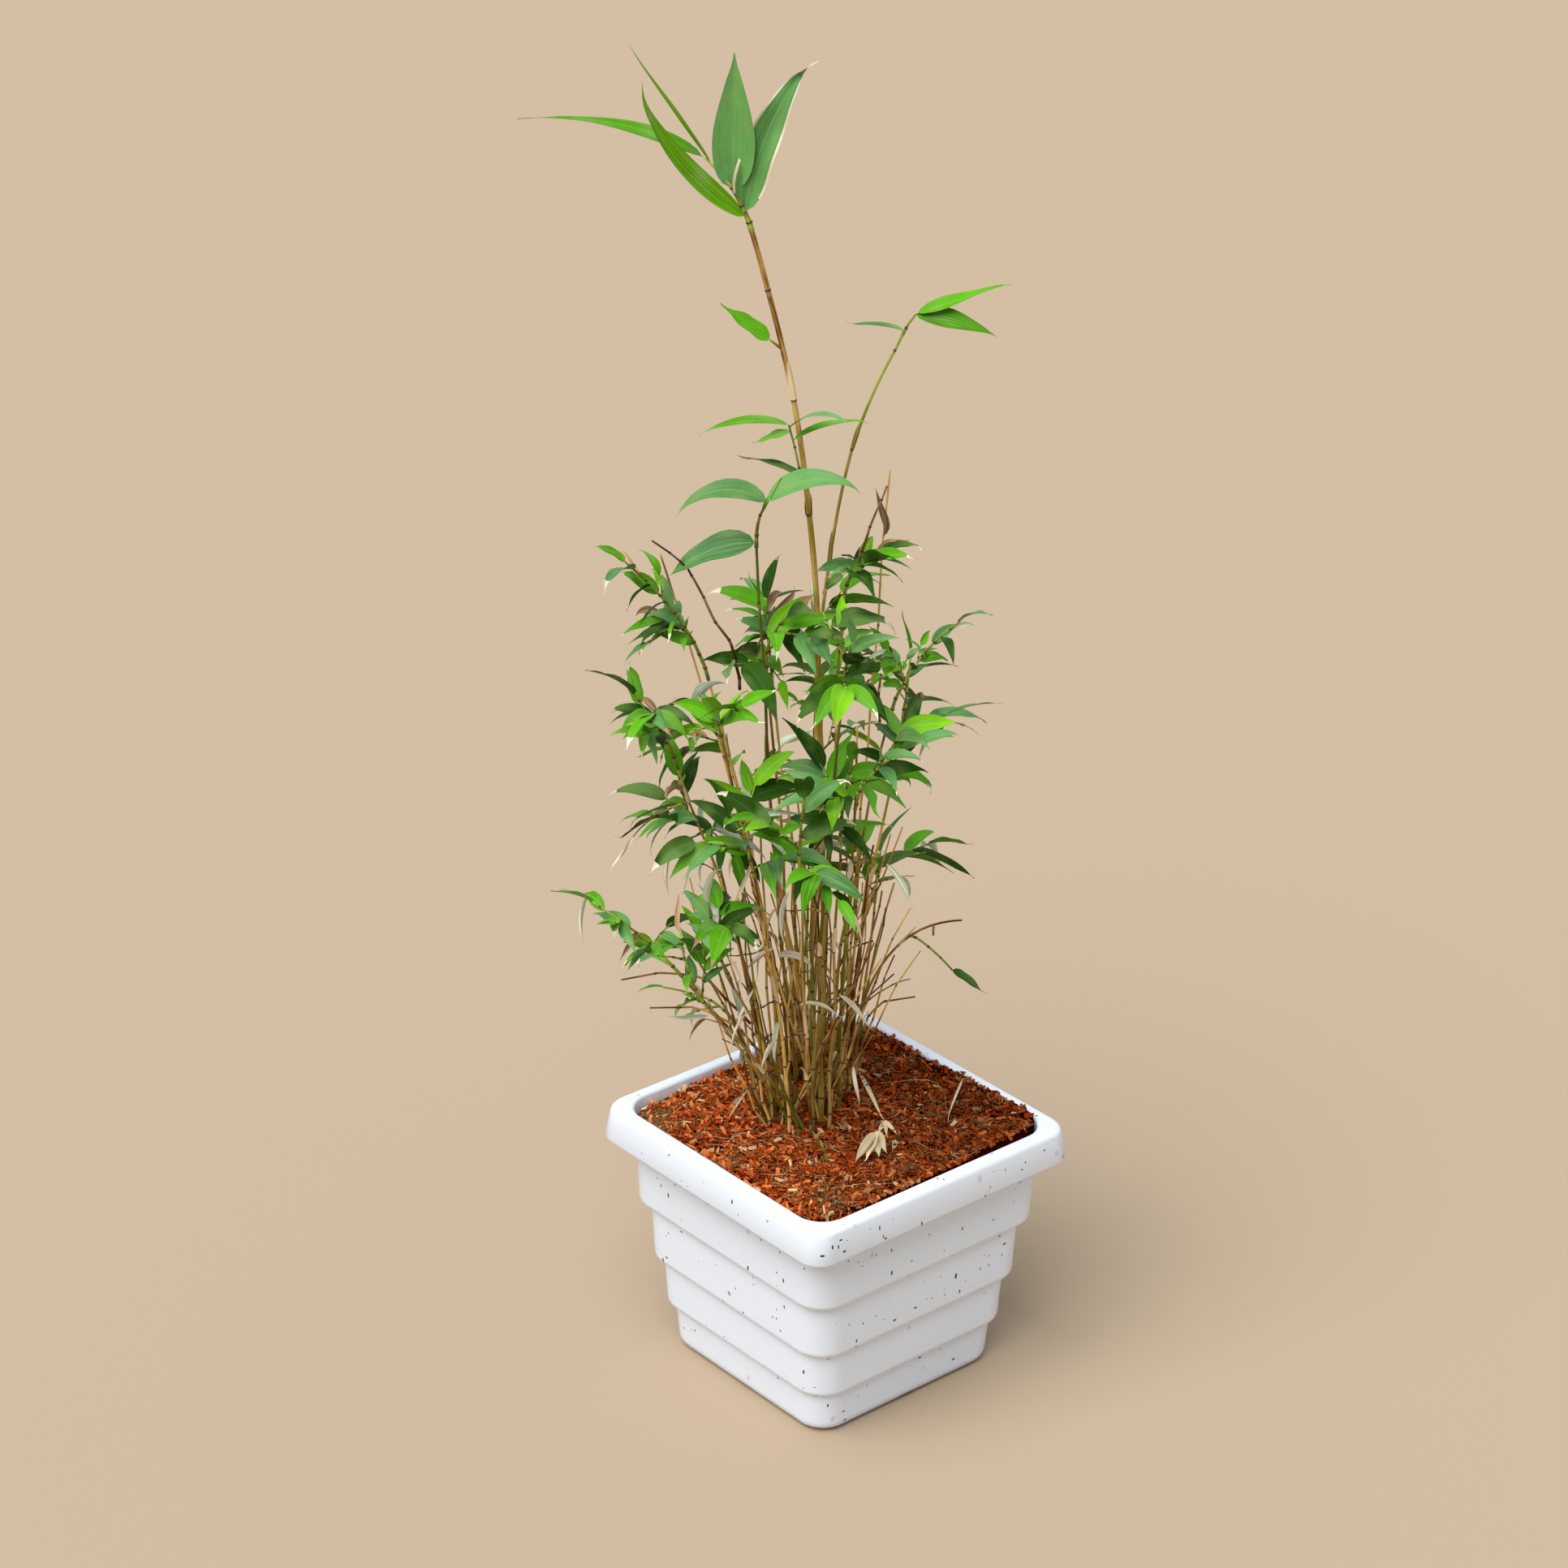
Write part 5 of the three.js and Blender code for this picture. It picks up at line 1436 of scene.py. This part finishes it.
def build_sprays():
    draw = np.random.default_rng(LEAF_SEED)
    kinds = list(LEAF_KINDS)
    shares = np.array([LEAF_KINDS[kind]["share"] for kind in kinds])
    leaves, replaced = {kind: [] for kind in kinds}, {kind: [] for kind in kinds}
    dry_parts = {kind: [] for kind in DRY_COLOURS}
    stems = []
    for number, spray in enumerate(grow_sprays()):
        for root, blade in spray["placed"]:
            blade.setdefault("kind", str(draw.choice(kinds, p=shares / shares.sum())))
            counts = (7, 24) if blade["length"] > BIG_LEAF else (5, 14)
            green, dry = leaf_sheet(root, blade, draw, *counts)
            leaves[blade["kind"]].append(green)
            if dry:
                dry_kind = blade.get("dry_kind", "straw" if draw.random() < 0.55 else "brown")
                dry_parts[dry_kind].append(dry)
        replaced[kinds[number % 2]].append("leaves_" + spray["name"])
        stems.extend(stem_limbs(spray, draw))
    for kind, details in LEAF_KINDS.items():
        # The flat kinds get patches of painted sheen; the rolled kinds none.
        bloom_and_sheen = 0.0 if kind in ROLLED else LEAF_SHEEN["most"]
        finish = leaf_finish(kind, details["colour"], details["gloss"], bloom_and_sheen)
        make_piece("leaves_" + kind, leaves[kind], finish, replaced[kind])
    for kind, colour in DRY_COLOURS.items():
        make_piece("dry_tips_" + kind, dry_parts[kind], leaf_finish("dry_" + kind, colour))
    make_piece("leafy_twigs", stems, cane_bark)


build_sprays()

# ---------------------------------------------------------------- bare twigs and sheaths
# Dead side twigs stand off the canes' rings, thin, brown and crooked, and most still carry a
# rolled dry leaf. Papery beige sheaths, split down one side, cling to the rings they grew from,
# and a few longer dry leaves have caught among the canes as they fell.
TWIG_SEED = 80
DEAD_TWIGS = {"from": 185, "to": 430, "share": 0.45, "length": (10, 46), "radius": (0.62, 0.3), "leafy": 0.7}
DEAD_LIMB = {"first": 7, "last": 11, "swell": 0.35, "zigzag": 0.4}
SET_LIMB = {"first": 12, "last": 20, "swell": 0.3, "zigzag": 0.9}
DRY_LEAF = {"length": (14, 38), "width": (3.0, 6.5), "droop": (-80, 5)}
SHEATHS = {"from": 175, "to": 620, "share": 0.5, "length": (9, 24), "flare": (0.1, 1.1)}
SHEATH_COLOUR = (0.52, 0.38, 0.21, 1)
BARE_TWIGS = [
    [(15, 58, 179), (18, 58, 197), (27, 58, 210), (48, 56, 215)],
    [(0, 50, 234), (6, 50, 250), (22, 50, 256)],
    [(-51, -10, 232), (-77, -14, 265), (-103, -18, 270), (-126, -24, 268)],
    [(-35, -4, 197), (-60, -6, 229), (-82, -8, 242), (-110, -12, 243)],
    [(-58, -6, 446), (-61, -6, 471), (-72, -8, 492), (-86, -12, 523), (-107, -16, 541)],
    [(21, -20, 428), (20, -24, 455), (21, -28, 472)],
    [(58, 56, 264), (58, 56, 257)],
    [(6, 18, 511), (13, 20, 527), (24, 24, 559)],
]
HUNG_LEAVES = rows(
    "from to width bend kind",
    ((-144, -30, 327), (-147, -30, 290), 5, 30, "silver"),
    ((-48, -50, 377), (-21, -50, 344), 4, 40, "silver"),
    ((-29, -45, 337), (-32, -45, 302), 5, 20, "silver"),
    ((-76, -5, 234), (-101, -8, 236), 4, -30, "silver"),
    ((-62, -20, 262), (-57, -22, 236), 5, 30, "silver"),
    ((-35, -30, 287), (-12, -32, 280), 6, 80, "straw"),
    ((-22, -20, 250), (4, -22, 240), 5, 70, "silver"),
    ((23, 40, 522), (18, 40, 553), 6, 20, "brown"),
    ((2, -30, 322), (14, -34, 296), 5, 30, "straw"),
    ((-66, -34, 318), (-78, -40, 292), 6, 50, "brown"),
)


def sheath_part(spot, forward, radius, draw):
    """A dry leaf base wrapped most of the way round a cane, open on one side, its tip leaning off."""
    rows, columns = 7, 7
    side = unit(np.cross(forward, [0.0, 1.0, 0.0]))
    over = np.cross(forward, side)
    length = draw.uniform(*SHEATHS["length"])
    flare = draw.uniform(*SHEATHS["flare"])
    middle, span = draw.uniform(0, 2 * math.pi), math.radians(draw.uniform(170, 280))
    points, uv = [], []
    for t in np.linspace(0, 1, rows):
        wide = span * max(1 - t, 0.04) ** 0.55
        out = radius * 1.12 + 0.25 + flare * t * t
        lean = (side * math.cos(middle) + over * math.sin(middle)) * flare * 1.4 * t ** 3
        for k in np.linspace(-0.5, 0.5, columns):
            angle = middle + wide * k
            around = side * math.cos(angle) + over * math.sin(angle)
            points.append(spot + forward * length * t + around * out + lean)
            uv.append((k + 0.5, t))
    faces = [
        (i * columns + k, i * columns + k + 1, (i + 1) * columns + k + 1, (i + 1) * columns + k)
        for i in range(rows - 1) for k in range(columns - 1)
    ]
    count = rows * columns
    return {
        "points": clump_to_pot(np.array(points)), "faces": faces, "uv": np.array(uv),
        "shade": np.full(count, draw.random()), "wide": np.full(count, 5.0),
    }


def dry_leaf(base, heading, draw):
    """A rolled, hanging dry leaf."""
    blade = {
        "kind": "withered", "heading": math.degrees(heading), "rise": draw.uniform(*DRY_LEAF["droop"]),
        "bend": draw.uniform(-20, 70), "roll": draw.uniform(-90, 90),
        "length": draw.uniform(*DRY_LEAF["length"]), "width": draw.uniform(*DRY_LEAF["width"]), "dry": 0.75,
    }
    return leaf_sheet(base, blade, draw)[0]


def dead_twig(spot, heading, draw):
    """The line of a crooked dead twig that leaves a ring."""
    rise = draw.uniform(10, 75)
    length = draw.uniform(*DEAD_TWIGS["length"])
    headings = np.degrees(heading) + np.cumsum(draw.normal(0, 16, 6))
    steps = aim(headings, rise + np.cumsum(draw.normal(0, 12, 6))) * length / 6
    return np.vstack([spot, spot + np.cumsum(steps, 0)])


def hung_leaf(hung, draw):
    """A dry leaf that hangs from one place to another."""
    base = np.array(hung["from"], float)
    along = np.array(hung["to"], float) - base
    level = math.hypot(along[0], along[1])
    blade = {
        "kind": "withered", "heading": math.degrees(math.atan2(along[1], along[0])),
        "rise": math.degrees(math.atan2(along[2], level)) + hung["bend"] / 2, "bend": hung["bend"],
        "roll": draw.uniform(-60, 60), "length": float(np.linalg.norm(along)), "width": hung["width"] * 1.5,
        "dry": 0.85,
    }
    return leaf_sheet(base, blade, draw)[0]


def build_bare_twigs():
    draw = np.random.default_rng(TWIG_SEED)
    twigs, sheaths = [], []
    leaves = {"silver": [], "straw": [], "brown": []}
    for path in BARE_TWIGS:
        knots = np.array(path, float)
        line = points_at(np.linspace(0, len(knots) - 1, 14), range(len(knots)), knots)
        twigs.append(jointed_limb(line, np.linspace(0.95, 0.55, 14), draw, 6, (0.85, 1.0), **SET_LIMB))
    for spot, forward, radius in [node for nodes in cane_nodes.values() for node in nodes]:
        if DEAD_TWIGS["from"] < spot[2] < DEAD_TWIGS["to"] and draw.random() < DEAD_TWIGS["share"]:
            outward = math.atan2(spot[1] - CROWN_MIDDLE[1], spot[0] - CROWN_MIDDLE[0])
            heading = outward + draw.normal(0, 1.0)
            line = dead_twig(spot, heading, draw)
            radii = np.linspace(*DEAD_TWIGS["radius"], len(line))
            twigs.append(jointed_limb(line, radii, draw, 5, (0.8, 1.0), **DEAD_LIMB))
            if draw.random() < DEAD_TWIGS["leafy"]:
                kind = list(leaves)[int(draw.integers(3))]
                leaves[kind].append(dry_leaf(line[-1], heading + draw.normal(0, 0.8), draw))
        if SHEATHS["from"] < spot[2] < SHEATHS["to"] and draw.random() < SHEATHS["share"]:
            sheaths.append(sheath_part(spot, forward, radius, draw))
    for hung in HUNG_LEAVES:
        leaves[hung["kind"]].append(hung_leaf(hung, draw))
    make_piece("bare_twigs", twigs, cane_bark)
    make_piece("sheaths", sheaths, leaf_finish("sheath", SHEATH_COLOUR))
    colours = {"silver": LEAF_KINDS["silver"]["colour"], **DRY_COLOURS}
    for kind, parts in leaves.items():
        make_piece("dead_leaves_" + kind, parts, leaf_finish("dead_" + kind, colours[kind]))


build_bare_twigs()

# ---------------------------------------------------------------- litter on the coir
# A few fallen leaves, stalks and strips of sheath lie loose on the coir, dry, pale or brown, and
# one green shoot comes up through it at the front.
LITTER_SEED = 81
LITTER_COLOURS = {"straw": (0.52, 0.41, 0.25, 1), "brown": (0.30, 0.17, 0.09, 1)}
YOUNG_SHOOT = [(-5, -47, 157), (-6, -47, 166), (-9, -47, 174), (-14, -46, 180)]
LITTER = rows(
    "at up heading length width rise kind",
    ((15, 62), 0, -77, 68, 3, 3, "straw"),
    ((-53, 38), 0, -107, 46, 1.7, 4, "straw"),
    ((78, 42), 0, -103, 56, 1.7, 5, "straw"),
    ((28, 2), 0, -60, 18, 3.6, 8, "straw"),
    ((29, 2), 0, -85, 20, 3.6, 14, "straw"),
    ((30, 1), 0, -108, 16, 3.2, 4, "straw"),
    ((25, -35), 15, -70, 16, 5, -40, "straw"),
    ((24, -35), 15, -85, 18, 6, -42, "straw"),
    ((24, -35), 14, -110, 21, 8, -38, "straw"),
    ((23, -35), 14, -124, 25, 7, -34, "straw"),
    ((36, -20), 0, -100, 14, 3.4, 4, "straw"),
    ((-62, 20), 0, 60, 16, 3, 4, "brown"),
    ((105, 0), 0, 10, 10, 4, 4, "straw"),
)


def fallen_leaf(bit, draw):
    """A dry leaf or strip of sheath that lies on the coir, or leans on one that does."""
    spot = clump_to_pot([*bit["at"], 0])
    base = np.array([*bit["at"], soil_height(spot[0], spot[1]) + 1.6 + bit["up"]])
    blade = {
        **bit, "bend": bit["rise"] * 2.2 if bit["rise"] > 0 else -20, "roll": draw.uniform(-25, 25),
        "dry": NOT_DRY, "hook": (draw.normal(0, 30), 0),
    }
    return leaf_sheet(base, blade, draw)[0]


def build_litter():
    draw = np.random.default_rng(LITTER_SEED)
    parts = {kind: [] for kind in LITTER_COLOURS}
    for bit in LITTER:
        parts[bit["kind"]].append(fallen_leaf(bit, draw))
    for kind, bits in parts.items():
        make_piece("litter_" + kind, bits, leaf_finish("litter_" + kind, LITTER_COLOURS[kind]))
    shoot = np.array(YOUNG_SHOOT, float)
    shoot_part = jointed_limb(shoot, np.array([1.0, 0.9, 0.6, 0.3]), draw, 7, (0.0, 0.0), first=7, last=9)
    make_piece("young_shoot", [shoot_part], cane_bark)


build_litter()
